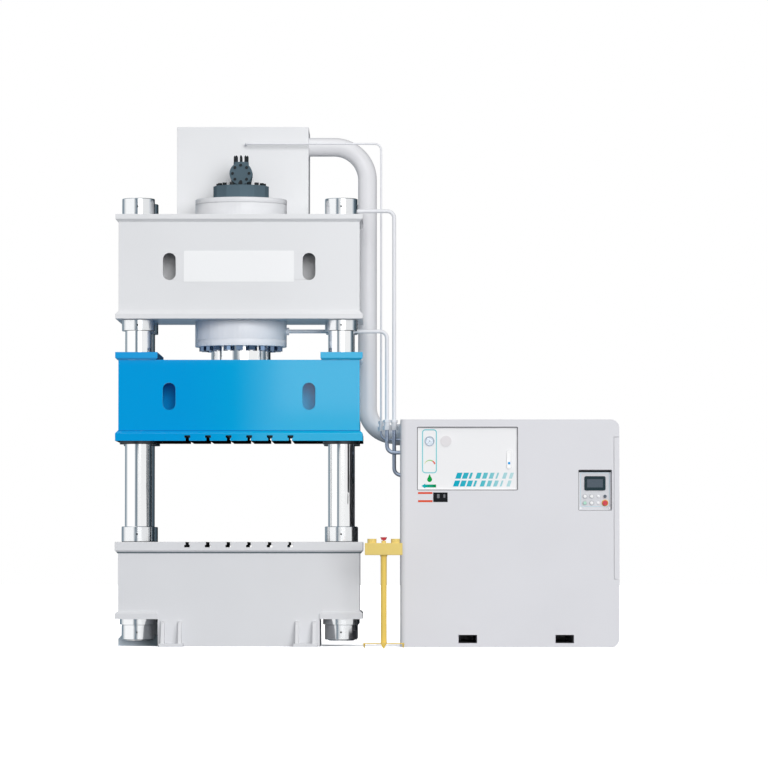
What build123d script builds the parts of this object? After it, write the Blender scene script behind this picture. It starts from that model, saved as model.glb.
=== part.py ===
from build123d import *
from math import cos, pi, sin
import os

# Four-column hydraulic press with its power unit and two-hand pedestal, in millimetres.
# The origin is on the floor under the middle of the press, +Z is up, the front faces -Y
# and the power unit stands on the +X side. The slide is at the top of its stroke.

# Welded beams: bed, slide and crown share one plan
plate_width = 2164
plate_depth = 1100
plate_thickness = 61
plate_bevel = 19
web_inset = 27
web_thickness = 40
long_rib_spacing = 300
rib_cell = 282
outer_rib_inset = 140
column_tube_wall = 60
oval_width = 111
oval_height = 238
crown_oval_rise = 458
slide_oval_rise = 390

# Columns, nuts and washers
column_dia = 230
column_inset_x = 190
column_inset_y = 230
column_gap = 0.5
column_end = 9
nut_wall = 28.5
nut_gap = 0.2
nut_chamfer = 5
crown_top_nut_height = 148
crown_under_nut_height = 100
bed_top_nut_height = 135
bed_under_nut_height = 132
spanner_hole_dia = 16
spanner_hole_depth = 22
washer_width = 45
washer_thickness = 50

# Bed
bed_height = 915
table_thickness = 88
table_bevel = 13
bed_end_width = 375
bed_end_rise = 241
bed_end_thickness = 68
bed_floor_thickness = 30
bed_inner_rib = 350
foot_inset = 122
foot_width = 210
foot_reach = 175
foot_thickness = 30
foot_rib_height = 225
foot_rib_thickness = 30
foot_rib_spacing = 150
foot_rib_top = 50
anchor_hole_dia = 45
anchor_reach = 90
side_foot_width = 369
side_foot_depth = 220
side_foot_height = 90
side_foot_bevel = 25

# T-slots in the table and in the platen
slot_pitch = 180
slot_count = 6
slot_neck = 28
slot_head = 50
slot_head_height = 20
slot_depth = 48

# Slide
daylight = 881
platen_thickness = 86
slide_height = 710
slide_top_thickness = 60
pad_width = 370
pad_thickness = 67
pad_bevel = 16
bush_wall = 20
bush_gap = 0.1
bush_seat_gap = 0.2
retainer_width = 46
retainer_thickness = 25
retainer_gap = 3

# Crown
crown_clearance = 359
crown_height = 917

# Cylinder and ram
barrel_dia = 740
collar_step = 35
collar_drop = 166
cylinder_wall = 70
cylinder_end = 80
cylinder_gap = 0.3
cylinder_nut_height = 163
nut_groove_drop = 45
nut_groove = 4
filling_port_dia = 140
gland_thickness = 60
gland_spigot = 55
gland_gap = 0.08
gland_bolt_count = 20
gland_bolt_across = 58
gland_bolt_head = 38
gland_bolt_shank = 30
gland_bolt_depth = 45
bolt_gap = 0.4
packing_height = 24
packing_width = 18
packing_gap = 0.05
ram_annulus = 37.5
ram_wall = 92.5
ram_foot = 200
ram_shoulder = 62.5
piston_height = 150
piston_top_gap = 15
piston_gap = 0.08
piston_groove = 8
piston_groove_count = 3

# Prefill valve on the cylinder
prefill_flange_across = 492
prefill_flange_sides = 12
prefill_flange_height = 120
prefill_flange_bolts = 16
prefill_flange_margin = 46
prefill_bolt_dia = 40
prefill_bolt_head = 25
prefill_neck_dia = 174
prefill_drum_dia = 200
prefill_drum_length = 200
prefill_drum_rise = 230
prefill_face_bolts = 8
prefill_face_margin = 27
prefill_face_bolt_dia = 25
prefill_face_bolt_head = 12
prefill_boss_dia = 136
prefill_boss_rise = 106
prefill_stud_dia = 20
prefill_stud_margin = 12
prefill_stud_rise = 165
prefill_stud_tip = 12
prefill_duct_dia = 170

# Prefill tank behind the crown
tank_width = 1180
tank_depth = 780
tank_height = 856
tank_wall = 8
tank_gap = 45
bracket_arm = 40
bracket_spacing = 900
bracket_drop = 520
bracket_plate = 25

# Pipes: outer diameter, wall and bend radius
suction_dia = 168.3
suction_wall = 7
suction_bend = 300
suction_low_bend = 240
suction_setback = 170
suction_standoff = 35
suction_tank_drop = 159
suction_roof_drop = 92
suction_inlet_inset = 289
suction_dip = 250
suction_collar = 12
pilot_dia = 18
pilot_wall = 3
pilot_bend = 56
pilot_setback = 100
pilot_standoff = 159
pilot_tap_x = 27
pilot_tank_drop = 161
pilot_roof_drop = 147
line_dia = 34
line_wall = 5
line_bend = 62
lift_y = -25
lift_standoff = 211
lift_port_rise = 79
lift_roof_drop = 271
press_y = 25
press_standoff = 275
press_riser_inset = 152
press_port_drop = 142
press_rise = 67
press_roof_drop = 469
pipe_boss_dia = 66
pipe_boss_length = 22
pipe_hole_gap = 2
union_roof_drop = 71
union_height = 90
union_nut_height = 38
union_cap_height = 24
union_margin = 16
union_gap = 0.15

# Power unit cabinet
cabinet_standoff = 329
cabinet_width = 1899
cabinet_front_y = -800
cabinet_depth = 1700
cabinet_height = 1976
sheet = 4
corner_radius = 75
edge_radius = 47
front_return = 100
roof_lap = 100
base_height = 128
base_rail = 60
deck_thickness = 8
fork_width = 161
fork_height = 72
fork_z = 36
fork_inset = 583
fork_spacing = 840
fork_wall = 6

# Display recess in the cabinet front
display_inset = 147
display_width = 869
display_drop = 67
display_height = 545
display_radius = 8
display_recess = 18
pressure_gauge_inset = 105.5
pressure_gauge_drop = 122
pressure_gauge_dia = 86
pressure_gauge_rim = 9
pressure_gauge_depth = 16
needle_length = 28
needle_width = 5
needle_thickness = 2
needle_rest_angle = -135
needle_gap = 0.5
round_cover_inset = 248
round_cover_dia = 96
round_cover_depth = 8
round_cover_screw_dia = 10
level_gauge_inset = 73
level_gauge_rise = 182
level_gauge_width = 43
level_gauge_height = 164
level_gauge_depth = 12
level_channel_width = 22
level_channel_height = 132

# Control recess in the cabinet front
control_inset = 354
control_width = 288
control_drop = 438
control_height = 351
control_radius = 6
control_recess = 45
control_plate = 6
control_wall = 3
screen_drop = 54
screen_width = 184
screen_height = 124
screen_radius = 14
screen_depth = 9
glass_width = 139
glass_height = 73
glass_recess = 3
key_pitch = 58
key_row_z = 64
key_dia = 28
key_ring_wall = 5
key_ring_height = 7
key_height = 13
key_gap = 0.5
key_travel = 4
key_bevel = 2
key_stem_dia = 16
key_stem_length = 24
lamp_dia = 26
lamp_height = 12
selector_bar = 9
selector_height = 20
stop_dia = 46
stop_height = 15
stop_edge = 5
stop_ring_dia = 44
stop_ring_height = 8
stop_travel = 6
stop_lift = 0.5

# Door on the right-hand side
door_z = 592
door_drop = 154
door_lip = 45
door_length = 700
door_gap = 3
hinge_pin_dia = 8
hinge_barrel_dia = 16
hinge_knuckle = 40
hinge_inset = 180
hinge_gap = 0.08
hinge_end_gap = 0.5
hinge_stand = 0.5

# Inside the power unit
reservoir_inset = 69
reservoir_back = 130
reservoir_width = 1000
reservoir_depth = 930
reservoir_height = 700
reservoir_wall = 6
manifold_inset = 129
manifold_depth = 90
manifold_y = -110
manifold_width = 560
manifold_drop = 536
manifold_height = 450
post_width = 60
valve_count = 3
valve_width = 70
valve_length = 260
valve_height = 70
coil_length = 416
coil_dia = 49
motor_inset = 589
motor_y = 120
motor_dia = 300
motor_length = 400
motor_lift = 200
motor_fan_dia = 280
motor_fan_length = 60
motor_fin_count = 20
motor_fin = 12
motor_foot = 260
motor_foot_length = 60
shaft_dia = 42
shaft_seat = 60
shaft_gap = 0.05
coupling_dia = 110
coupling_length = 70
coupling_gap = 10
coupling_groove = 8
coupling_groove_depth = 11
pump_dia = 160
pump_length = 150
pump_foot = 150
pump_flange = 20
pump_port = 30

# Two-hand pedestal
pedestal_standoff = 184
pedestal_y = -1220
pedestal_box_z = 798.5
pedestal_box_width = 323
pedestal_box_depth = 120
pedestal_box_height = 104
pedestal_box_radius = 5
pole_dia = 53
pole_wall = 4
pole_collar_dia = 62
pole_hub_dia = 74
pole_collar_height = 12
leg_reach = 176
leg_width = 50
leg_thickness = 8
leg_height = 46
leg_foot_width = 18
leg_foot_tip = 8
guard_spacing = 202
guard_dia = 78
guard_wall = 5
guard_height = 36
palm_dia = 56
palm_height = 30
palm_edge = 6
palm_travel = 8
palm_stem_dia = 24
palm_stem_length = 30
pedestal_neck_dia = 39
pedestal_neck_height = 20
pedestal_stop_top_dia = 59
pedestal_stop_low_dia = 38
pedestal_stop_height = 24
pedestal_stop_travel = 5

# Heights and places worked out from the sizes above
web_width = plate_width - 2 * web_inset
web_depth = plate_depth - 2 * web_inset
column_pitch_x = plate_width - 2 * column_inset_x
column_pitch_y = plate_depth - 2 * column_inset_y
cross_rib_outer = column_pitch_x / 2 - outer_rib_inset
cross_rib_inner = cross_rib_outer - rib_cell
oval_spacing = cross_rib_inner + cross_rib_outer
nut_dia = column_dia + 2 * nut_wall
washer_dia = column_dia + 2 * washer_width
retainer_dia = column_dia + 2 * retainer_width
column_bore = column_dia + 2 * column_gap
table_underside = bed_height - table_thickness
platen_face = bed_height + daylight
platen_top = platen_face + platen_thickness
slide_top = platen_face + slide_height
crown_underside = slide_top + crown_clearance
crown_top = crown_underside + crown_height
column_bottom = bed_end_rise - washer_thickness - bed_under_nut_height - column_end
column_top = crown_top + crown_top_nut_height
bed_base_width = plate_width - 2 * bed_end_width
foot_spacing = bed_base_width - 2 * foot_inset
collar_dia = barrel_dia + 2 * collar_step
cylinder_bore = barrel_dia - 2 * cylinder_wall
gland_bolt_pcd = (cylinder_bore + barrel_dia) / 2
ram_dia = cylinder_bore - 2 * ram_annulus
ram_bore = ram_dia - 2 * ram_wall
ram_spigot_dia = ram_dia - 2 * ram_shoulder
collar_bottom = crown_underside - collar_drop
cylinder_top = crown_top + cylinder_nut_height
bore_top = cylinder_top - cylinder_end
gland_bottom = collar_bottom - gland_thickness
piston_top = bore_top - piston_top_gap
drum_z = cylinder_top + prefill_drum_rise
prefill_flange_pcd = prefill_flange_across - 2 * prefill_flange_margin
prefill_face_pcd = prefill_drum_dia - 2 * prefill_face_margin
prefill_stud_pcd = prefill_boss_dia - 2 * prefill_stud_margin
tank_y = collar_dia / 2 + tank_gap
tank_top = crown_top + tank_height
cabinet_left = plate_width / 2 + cabinet_standoff
cabinet_right = cabinet_left + cabinet_width
cabinet_back_y = cabinet_front_y + cabinet_depth
suction_x = plate_width / 2 + suction_standoff
suction_y = plate_depth / 2 + suction_setback
suction_top_z = tank_top - suction_tank_drop
suction_low_z = cabinet_height - suction_roof_drop
suction_inlet_x = cabinet_left + suction_inlet_inset
pilot_x = plate_width / 2 + pilot_standoff
pilot_y = tank_y - pilot_setback
pilot_top_z = tank_top - pilot_tank_drop
pilot_low_z = cabinet_height - pilot_roof_drop
lift_x = plate_width / 2 + lift_standoff
lift_top_z = collar_bottom + lift_port_rise
lift_low_z = cabinet_height - lift_roof_drop
press_x = plate_width / 2 + press_standoff
press_riser_x = plate_width / 2 - press_riser_inset
press_port_z = crown_top - press_port_drop
press_top_z = crown_top + press_rise
press_low_z = cabinet_height - press_roof_drop
union_z = cabinet_height - union_roof_drop
fork_x = cabinet_left + fork_inset
display_x = cabinet_left + display_inset
display_z = cabinet_height - display_drop - display_height
pressure_gauge_x = display_x + pressure_gauge_inset
pressure_gauge_z = display_z + display_height - pressure_gauge_drop
round_cover_x = display_x + round_cover_inset
level_gauge_x = display_x + display_width - level_gauge_inset
level_gauge_z = display_z + level_gauge_rise
control_x = cabinet_right - control_inset
control_z = cabinet_height - control_drop - control_height
door_height = cabinet_height - door_drop - door_z
reservoir_x = cabinet_left + reservoir_inset
reservoir_y = suction_y + reservoir_back - reservoir_depth
reservoir_top = base_height + reservoir_height
manifold_x = cabinet_left + manifold_inset
manifold_z = cabinet_height - manifold_drop
motor_x = cabinet_left + motor_inset
pedestal_x = plate_width / 2 + pedestal_standoff
motor_z = reservoir_top + motor_lift
pedestal_top = pedestal_box_z + pedestal_box_height
BASE = (Align.CENTER, Align.CENTER, Align.MIN)


def block(x0, x1, y0, y1, z0, z1):
    """A block between two opposite corners."""
    return Pos(x0, y0, z0) * Box(x1 - x0, y1 - y0, z1 - z0, align=(Align.MIN,) * 3)


def upright(x, y, z0, z1, dia):
    """A vertical round bar between two heights."""
    return Pos(x, y, z0) * Cylinder(dia / 2, z1 - z0, align=BASE)


def ring(x, y, z0, z1, outer, inner):
    """A vertical ring between two heights."""
    return upright(x, y, z0, z1, outer) - upright(x, y, z0, z1, inner)


def along_y(x, z, y0, y1, dia):
    """A round bar that runs front to back."""
    return Pos(x, y1, z) * Rot(90, 0, 0) * Cylinder(dia / 2, y1 - y0, align=BASE)


def along_x(y, z, x0, x1, dia):
    """A round bar that runs left to right."""
    return Pos(x0, y, z) * Rot(0, 90, 0) * Cylinder(dia / 2, x1 - x0, align=BASE)


def front_slab(section, y0, y1):
    """A front-view section carried from y0 back to y1."""
    return Pos(0, y1, 0) * extrude(Plane.XZ * section, y1 - y0)


def corners():
    """The four column centres."""
    return GridLocations(column_pitch_x, column_pitch_y, 2, 2)


def fused(shape, extras):
    """A shape joined to a list of others."""
    for extra in extras:
        shape = shape + extra
    return shape


def cut(shape, tools):
    """A shape with a list of others taken away."""
    for tool in tools:
        shape = shape - tool
    return shape


def column_bores(z0, z1, dia):
    """The four bores that the columns pass through."""
    return [upright(spot.position.X, spot.position.Y, z0, z1, dia) for spot in corners()]


def bevelled_plate(width, depth, thickness, bevel, bevel_up):
    """A plate standing on Z = 0 with a bevel round its upper or lower edge."""
    plate = Box(width, depth, thickness, align=BASE)
    edges = plate.edges().group_by(Axis.Z)[-1 if bevel_up else 0]
    return chamfer(edges, bevel)


def beam_webs(z0, z1, cross_ribs, hub_dia, bore_dia):
    """Outer walls, ribs, column tubes and central hub of a welded box beam."""
    outline = Rectangle(web_width, web_depth)
    webs = outline - Rectangle(web_width - 2 * web_thickness, web_depth - 2 * web_thickness)
    for rib in cross_ribs:
        webs += Pos(-rib, 0) * Rectangle(web_thickness, web_depth)
        webs += Pos(rib, 0) * Rectangle(web_thickness, web_depth)
    for side in (-1, 1):
        webs += Pos(0, side * long_rib_spacing / 2) * Rectangle(web_width, web_thickness)
    for spot in corners():
        webs += spot * Circle(bore_dia / 2 + column_tube_wall)
    if hub_dia:
        webs += Circle(hub_dia / 2)
    return extrude(Pos(0, 0, z0) * (webs & outline), z1 - z0)


def oval_holes(z):
    """Stadium-shaped hand holes through the front and back walls."""
    oval = SlotOverall(oval_height, oval_width, rotation=90)
    holes = []
    for x in (-oval_spacing / 2, oval_spacing / 2):
        for wall_y in (-web_depth / 2, web_depth / 2 - web_thickness):
            holes.append(front_slab(Pos(x, z) * oval, wall_y, wall_y + web_thickness))
    return holes


def slot_tools(z, opening_up):
    """T-slots that run front to back, opening upwards or downwards at height z."""
    side = 1 if opening_up else -1
    tools = []
    for index in range(slot_count):
        x = (index - (slot_count - 1) / 2) * slot_pitch
        bottom = z - side * slot_depth
        neck = block(x - slot_neck / 2, x + slot_neck / 2, -plate_depth, plate_depth,
                     min(z, bottom), max(z, bottom))
        roof = bottom + side * slot_head_height
        head = block(x - slot_head / 2, x + slot_head / 2, -plate_depth, plate_depth,
                     min(roof, bottom), max(roof, bottom))
        tools.append(neck + head)
    return tools


def tube(points, radii, dia, wall):
    """A bent pipe along straight runs joined by tangent arcs."""
    path = FilletPolyline(*points, radius=radii)
    start = Plane(origin=path @ 0, z_dir=path % 0)
    return sweep(start * (Circle(dia / 2) - Circle(dia / 2 - wall)), path=path)


def hexagon_bar(across, height):
    """A hexagonal prism measured across its flats."""
    return extrude(RegularPolygon(across / 2, 6, major_radius=False), height)


# Bed

def make_bed_frame():
    ends = (bed_inner_rib, bed_base_width / 2 - web_thickness / 2)
    frame = beam_webs(0, table_underside, ends, 0, column_bore)
    for side in (-1, 1):
        middle = side * (bed_base_width + plate_width) / 4
        raised = Pos(middle, 0, 0) * Box(bed_end_width, plate_depth, bed_end_rise, align=BASE)
        strip = bevelled_plate(bed_end_width, plate_depth, bed_end_thickness, plate_bevel, True)
        frame = frame - raised + Pos(middle, 0, bed_end_rise) * strip
    frame += Box(bed_base_width, web_depth, bed_floor_thickness, align=BASE)
    frame = cut(frame, column_bores(0, bed_height, column_bore))
    for x in (-foot_spacing / 2, foot_spacing / 2):
        for turn in (0, 180):
            frame += Rot(0, 0, turn) * Pos(x, -web_depth / 2, 0) * bed_foot()
    return frame


def bed_foot():
    """A floor lug: a base plate with an anchor hole between two tapered ribs."""
    plate = block(-foot_width / 2, foot_width / 2, -foot_reach, 0, 0, foot_thickness)
    plate -= upright(0, -anchor_reach, 0, foot_thickness, anchor_hole_dia)
    profile = Polyline(
        (0, foot_thickness),
        (-foot_reach + foot_rib_top / 2, foot_thickness),
        (-foot_rib_top, foot_rib_height),
        (0, foot_rib_height),
        close=True,
    )
    side = make_face(profile)
    side = fillet(side.vertices().sort_by(Axis.X)[1:2], foot_rib_top)
    rib = extrude(Plane.YZ * side, foot_rib_thickness / 2, both=True)
    for x in (-foot_rib_spacing / 2, foot_rib_spacing / 2):
        plate += Pos(x, 0, 0) * rib
    return plate


def make_bed_table():
    table = bevelled_plate(plate_width, plate_depth, table_thickness, table_bevel, False)
    table = Pos(0, 0, table_underside) * table
    table = cut(table, column_bores(table_underside, bed_height, column_bore))
    return cut(table, slot_tools(bed_height, True))


def make_side_foot():
    x1 = -bed_base_width / 2
    foot = block(x1 - side_foot_width, x1, -side_foot_depth / 2, side_foot_depth / 2,
                 0, side_foot_height)
    outer = foot.edges().filter_by(Axis.Y).group_by(Axis.Z)[-1].sort_by(Axis.X)[0]
    return chamfer(outer, side_foot_bevel)


# Columns and their nuts

def make_column(spot):
    column = upright(spot.position.X, spot.position.Y, column_bottom, column_top, column_dia)
    return chamfer(column.edges().filter_by(GeomType.CIRCLE), nut_chamfer)


def column_nut(height):
    """A round nut with radial holes for a hook spanner."""
    nut = Cylinder(nut_dia / 2, height, align=BASE)
    nut = chamfer(nut.edges().filter_by(GeomType.CIRCLE), nut_chamfer)
    nut -= Cylinder(column_dia / 2 + nut_gap, height, align=BASE)
    for turn in range(0, 360, 90):
        hole = Cylinder(spanner_hole_dia / 2, 2 * spanner_hole_depth)
        nut -= Rot(0, 0, turn) * Pos(0, -nut_dia / 2, height / 2) * Rot(90, 0, 0) * hole
    return nut


def nuts_at(z, height):
    return [Pos(0, 0, z) * spot * column_nut(height) for spot in corners()]


def make_column_nuts():
    washer_bottom = bed_end_rise - washer_thickness
    nuts = nuts_at(crown_top, crown_top_nut_height)
    nuts += nuts_at(crown_underside - crown_under_nut_height, crown_under_nut_height)
    nuts += nuts_at(bed_height, bed_top_nut_height)
    nuts += nuts_at(washer_bottom - bed_under_nut_height, bed_under_nut_height)
    return Compound(nuts)


def make_bed_washers():
    z0 = bed_end_rise - washer_thickness
    places = [spot.position for spot in corners()]
    return Compound([ring(p.X, p.Y, z0, bed_end_rise, washer_dia, column_bore) for p in places])


# Slide

def make_slide_frame():
    bush_bore = column_dia + 2 * (bush_gap + bush_wall + bush_seat_gap)
    ribs = (cross_rib_inner, cross_rib_outer)
    hub = ram_dia + 2 * web_thickness
    top_plate_z = slide_top - slide_top_thickness
    frame = beam_webs(platen_top, top_plate_z, ribs, hub, bush_bore)
    frame += Pos(0, 0, top_plate_z) * Box(web_width, web_depth, slide_top_thickness, align=BASE)
    for side in (-1, 1):
        pad = bevelled_plate(pad_width, plate_depth, pad_thickness, pad_bevel, False)
        frame += Pos(side * (plate_width - pad_width) / 2, 0, slide_top) * pad
    frame = cut(frame, column_bores(platen_top, slide_top + pad_thickness, bush_bore))
    frame -= upright(0, 0, platen_top, slide_top, ram_spigot_dia + 2 * bush_seat_gap)
    return cut(frame, oval_holes(platen_face + slide_oval_rise))


def make_slide_platen():
    bush_bore = column_dia + 2 * (bush_gap + bush_wall + bush_seat_gap)
    platen = bevelled_plate(plate_width, plate_depth, platen_thickness, plate_bevel, True)
    platen = Pos(0, 0, platen_face) * platen
    platen = cut(platen, column_bores(platen_face, platen_top, bush_bore))
    return cut(platen, slot_tools(platen_face, False))


def make_guide_bushes():
    inner = column_dia + 2 * bush_gap
    outer = inner + 2 * bush_wall
    z1 = slide_top + pad_thickness
    places = [spot.position for spot in corners()]
    return Compound([ring(p.X, p.Y, platen_face, z1, outer, inner) for p in places])


def make_bush_retainers():
    z0 = platen_face - retainer_thickness
    inner = column_dia + 2 * retainer_gap
    places = [spot.position for spot in corners()]
    return Compound([ring(p.X, p.Y, z0, platen_face, retainer_dia, inner) for p in places])


# Crown

def make_crown():
    ribs = (cross_rib_inner, cross_rib_outer)
    hub = barrel_dia + 2 * (cylinder_gap + column_tube_wall)
    z0 = crown_underside + plate_thickness
    z1 = crown_top - plate_thickness
    crown = beam_webs(z0, z1, ribs, hub, column_bore)
    lower = bevelled_plate(plate_width, plate_depth, plate_thickness, plate_bevel, True)
    upper = bevelled_plate(plate_width, plate_depth, plate_thickness, plate_bevel, False)
    crown += Pos(0, 0, crown_underside) * lower
    crown += Pos(0, 0, z1) * upper
    crown = cut(crown, column_bores(crown_underside, crown_top, column_bore))
    crown -= upright(0, 0, crown_underside, crown_top, barrel_dia + 2 * cylinder_gap)
    hole = line_dia + 2 * pipe_hole_gap
    crown -= along_x(press_y, press_port_z, 0, press_riser_x, hole)
    crown -= upright(press_riser_x, press_y, press_port_z, crown_top, hole)
    return cut(crown, oval_holes(crown_underside + crown_oval_rise))


# Cylinder and ram

def make_main_cylinder():
    collar = upright(0, 0, collar_bottom, crown_underside, collar_dia)
    body = collar + upright(0, 0, crown_underside, cylinder_top, barrel_dia)
    body += along_x(lift_y, lift_top_z, 0, lift_boss_x(), pipe_boss_dia)
    body -= upright(0, 0, collar_bottom, bore_top, cylinder_bore)
    body -= upright(0, 0, bore_top, cylinder_top, filling_port_dia)
    port = line_dia - 2 * line_wall
    body -= along_x(lift_y, lift_top_z, 0, lift_boss_x(), port)
    body -= along_x(press_y, press_port_z, 0, barrel_dia / 2, port)
    holes = []
    for spot in PolarLocations(gland_bolt_pcd / 2, gland_bolt_count):
        p = spot.position
        holes.append(upright(p.X, p.Y, collar_bottom, collar_bottom + gland_bolt_depth + bolt_gap,
                             gland_bolt_shank + 2 * bolt_gap))
    return cut(body, holes)


def lift_boss_x():
    """Outer face of the port boss on the cylinder's side."""
    return collar_dia / 2 + pipe_boss_length


def make_cylinder_nut():
    bore = barrel_dia + 2 * nut_gap
    nut = upright(0, 0, crown_top, cylinder_top, collar_dia)
    nut = chamfer(nut.edges().filter_by(GeomType.CIRCLE).group_by(Axis.Z)[-1], nut_chamfer)
    nut -= upright(0, 0, crown_top, cylinder_top, bore)
    z = cylinder_top - nut_groove_drop
    return nut - ring(0, 0, z - nut_groove / 2, z + nut_groove / 2,
                      collar_dia, collar_dia - 2 * nut_groove)


def make_cylinder_gland():
    bore = ram_dia + 2 * gland_gap
    spigot = cylinder_bore - 2 * bush_seat_gap
    gland = upright(0, 0, gland_bottom, collar_bottom, collar_dia)
    gland += upright(0, 0, collar_bottom, collar_bottom + gland_spigot, spigot)
    gland -= upright(0, 0, gland_bottom, collar_bottom + gland_spigot, bore)
    z1 = collar_bottom + gland_spigot
    gland -= upright(0, 0, z1 - packing_height, z1, ram_dia + 2 * packing_width)
    for spot in PolarLocations(gland_bolt_pcd / 2, gland_bolt_count):
        p = spot.position
        gland -= upright(p.X, p.Y, gland_bottom, collar_bottom, gland_bolt_shank + 2 * bolt_gap)
    return gland


def make_ram_packing():
    z1 = collar_bottom + gland_spigot
    outer = ram_dia + 2 * (packing_width - bush_seat_gap)
    return ring(0, 0, z1 - packing_height, z1, outer, ram_dia + 2 * packing_gap)


def make_gland_bolts():
    bolt = hexagon_bar(gland_bolt_across, gland_bolt_head)
    shank_length = gland_bolt_head + gland_thickness + gland_bolt_depth
    bolt += Cylinder(gland_bolt_shank / 2, shank_length, align=BASE)
    z = gland_bottom - gland_bolt_head
    ring_places = PolarLocations(gland_bolt_pcd / 2, gland_bolt_count)
    return Compound([Pos(0, 0, z) * spot * bolt for spot in ring_places])


def make_piston_rod():
    spigot_z = slide_top - slide_top_thickness
    piston_z = piston_top - piston_height
    piston_dia = cylinder_bore - 2 * piston_gap
    ram = upright(0, 0, spigot_z, slide_top, ram_spigot_dia)
    ram += upright(0, 0, slide_top, piston_z, ram_dia)
    ram += upright(0, 0, piston_z, piston_top, piston_dia)
    ram -= upright(0, 0, slide_top + ram_foot, piston_top, ram_bore)
    for index in range(piston_groove_count):
        z = piston_z + (index + 1) * piston_height / (piston_groove_count + 1)
        ram -= ring(0, 0, z - piston_groove / 2, z + piston_groove / 2,
                    piston_dia, piston_dia - 2 * piston_groove)
    return ram


# Prefill valve and tank

def make_prefill_valve():
    flange = extrude(RegularPolygon(prefill_flange_across / 2, prefill_flange_sides),
                     prefill_flange_height)
    valve = Pos(0, 0, cylinder_top) * flange
    valve += upright(0, 0, cylinder_top + prefill_flange_height, drum_z, prefill_neck_dia)
    half = prefill_drum_length / 2
    drum = along_y(0, drum_z, -half, half, prefill_drum_dia)
    valve += drum
    valve += upright(0, 0, drum_z, drum_z + prefill_boss_rise, prefill_boss_dia)
    valve += along_y(0, drum_z, half, tank_y, prefill_duct_dia)
    bore = prefill_duct_dia - 2 * prefill_stud_dia
    valve -= upright(0, 0, cylinder_top, drum_z, filling_port_dia)
    return valve - along_y(0, drum_z, 0, tank_y, bore)


def make_prefill_bolts():
    z = cylinder_top + prefill_flange_height
    head = extrude(RegularPolygon(prefill_bolt_dia / 2, 6), prefill_bolt_head)
    heads = PolarLocations(prefill_flange_pcd / 2, prefill_flange_bolts)
    bolts = [Pos(0, 0, z) * spot * head for spot in heads]
    cap = Cylinder(prefill_face_bolt_dia / 2, prefill_face_bolt_head, align=BASE)
    face = Plane.XZ.offset(prefill_drum_length / 2)
    for spot in PolarLocations(prefill_face_pcd / 2, prefill_face_bolts):
        bolts.append(Pos(0, 0, drum_z) * face.location * spot * cap)
    straight = prefill_stud_rise - prefill_boss_rise - prefill_stud_tip
    stud = Cylinder(prefill_stud_dia / 2, straight, align=BASE)
    tip = Cone(prefill_stud_dia / 2, prefill_stud_dia / 6, prefill_stud_tip, align=BASE)
    stud += Pos(0, 0, straight) * tip
    for spot in PolarLocations(prefill_stud_pcd / 2, prefill_face_bolts):
        bolts.append(Pos(0, 0, drum_z + prefill_boss_rise) * spot * stud)
    return Compound(bolts)


def make_prefill_tank():
    half = tank_width / 2
    y1 = tank_y + tank_depth
    z1 = tank_top
    w = tank_wall
    tank = block(-half, half, tank_y, y1, crown_top, z1)
    tank -= block(-half + w, half - w, tank_y + w, y1 - w, crown_top + w, z1 - w)
    tank -= along_y(0, drum_z, tank_y, tank_y + w, prefill_duct_dia - 2 * prefill_stud_dia)
    tank -= along_x(suction_y, suction_top_z, half - w, half, suction_dia - 2 * suction_wall)
    return tank


def make_tank_bracket():
    y0 = plate_depth / 2
    y1 = tank_y + tank_depth
    z1 = crown_top
    half = bracket_spacing / 2 + bracket_arm
    back = block(-half, half, y0, y0 + bracket_plate, z1 - bracket_drop, z1)
    shelf = block(-half, half, y0, y1, z1 - bracket_plate, z1)
    outline = Polyline((y0, z1), (y1, z1), (y1, z1 - 2 * bracket_plate),
                       (y0, z1 - bracket_drop), close=True)
    gusset = extrude(Plane.YZ * make_face(outline), bracket_arm / 2, both=True)
    bracket = back + shelf
    for x in (-bracket_spacing / 2, 0, bracket_spacing / 2):
        bracket += Pos(x, 0, 0) * gusset
    return bracket


# Pipes

def make_suction_pipe():
    start = (tank_width / 2, suction_y, suction_top_z)
    points = [start, (suction_x, suction_y, suction_top_z), (suction_x, suction_y, suction_low_z),
              (suction_inlet_x, suction_y, suction_low_z),
              (suction_inlet_x, suction_y, reservoir_top - suction_dip)]
    radii = [suction_bend, suction_low_bend, suction_low_bend]
    pipe = tube(points, radii, suction_dia, suction_wall)
    collar = suction_dia + 2 * suction_collar
    x0 = suction_x + suction_low_bend
    bore = suction_dia - suction_wall
    sleeve = along_x(suction_y, suction_low_z, x0, cabinet_left, collar)
    return pipe + (sleeve - along_x(suction_y, suction_low_z, x0, cabinet_left, bore))


def make_pilot_pipe():
    points = [(pilot_tap_x, tank_y, pilot_top_z), (pilot_tap_x, pilot_y, pilot_top_z),
              (pilot_x, pilot_y, pilot_top_z), (pilot_x, pilot_y, pilot_low_z),
              (manifold_x, pilot_y, pilot_low_z)]
    return tube(points, [pilot_bend] * 3, pilot_dia, pilot_wall)


def make_lift_pipe():
    points = [(lift_boss_x(), lift_y, lift_top_z), (lift_x, lift_y, lift_top_z),
              (lift_x, lift_y, lift_low_z), (manifold_x, lift_y, lift_low_z)]
    return tube(points, [line_bend] * 2, line_dia, line_wall)


def press_port_x():
    """Where the pressing line meets the barrel, at the line's own offset."""
    return (barrel_dia ** 2 / 4 - (abs(press_y) - line_dia / 2) ** 2) ** 0.5


def make_press_pipe():
    points = [(press_port_x(), press_y, press_port_z),
              (press_riser_x, press_y, press_port_z),
              (press_riser_x, press_y, press_top_z), (press_x, press_y, press_top_z),
              (press_x, press_y, press_low_z), (manifold_x, press_y, press_low_z)]
    return tube(points, [line_bend] * 4, line_dia, line_wall)


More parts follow.
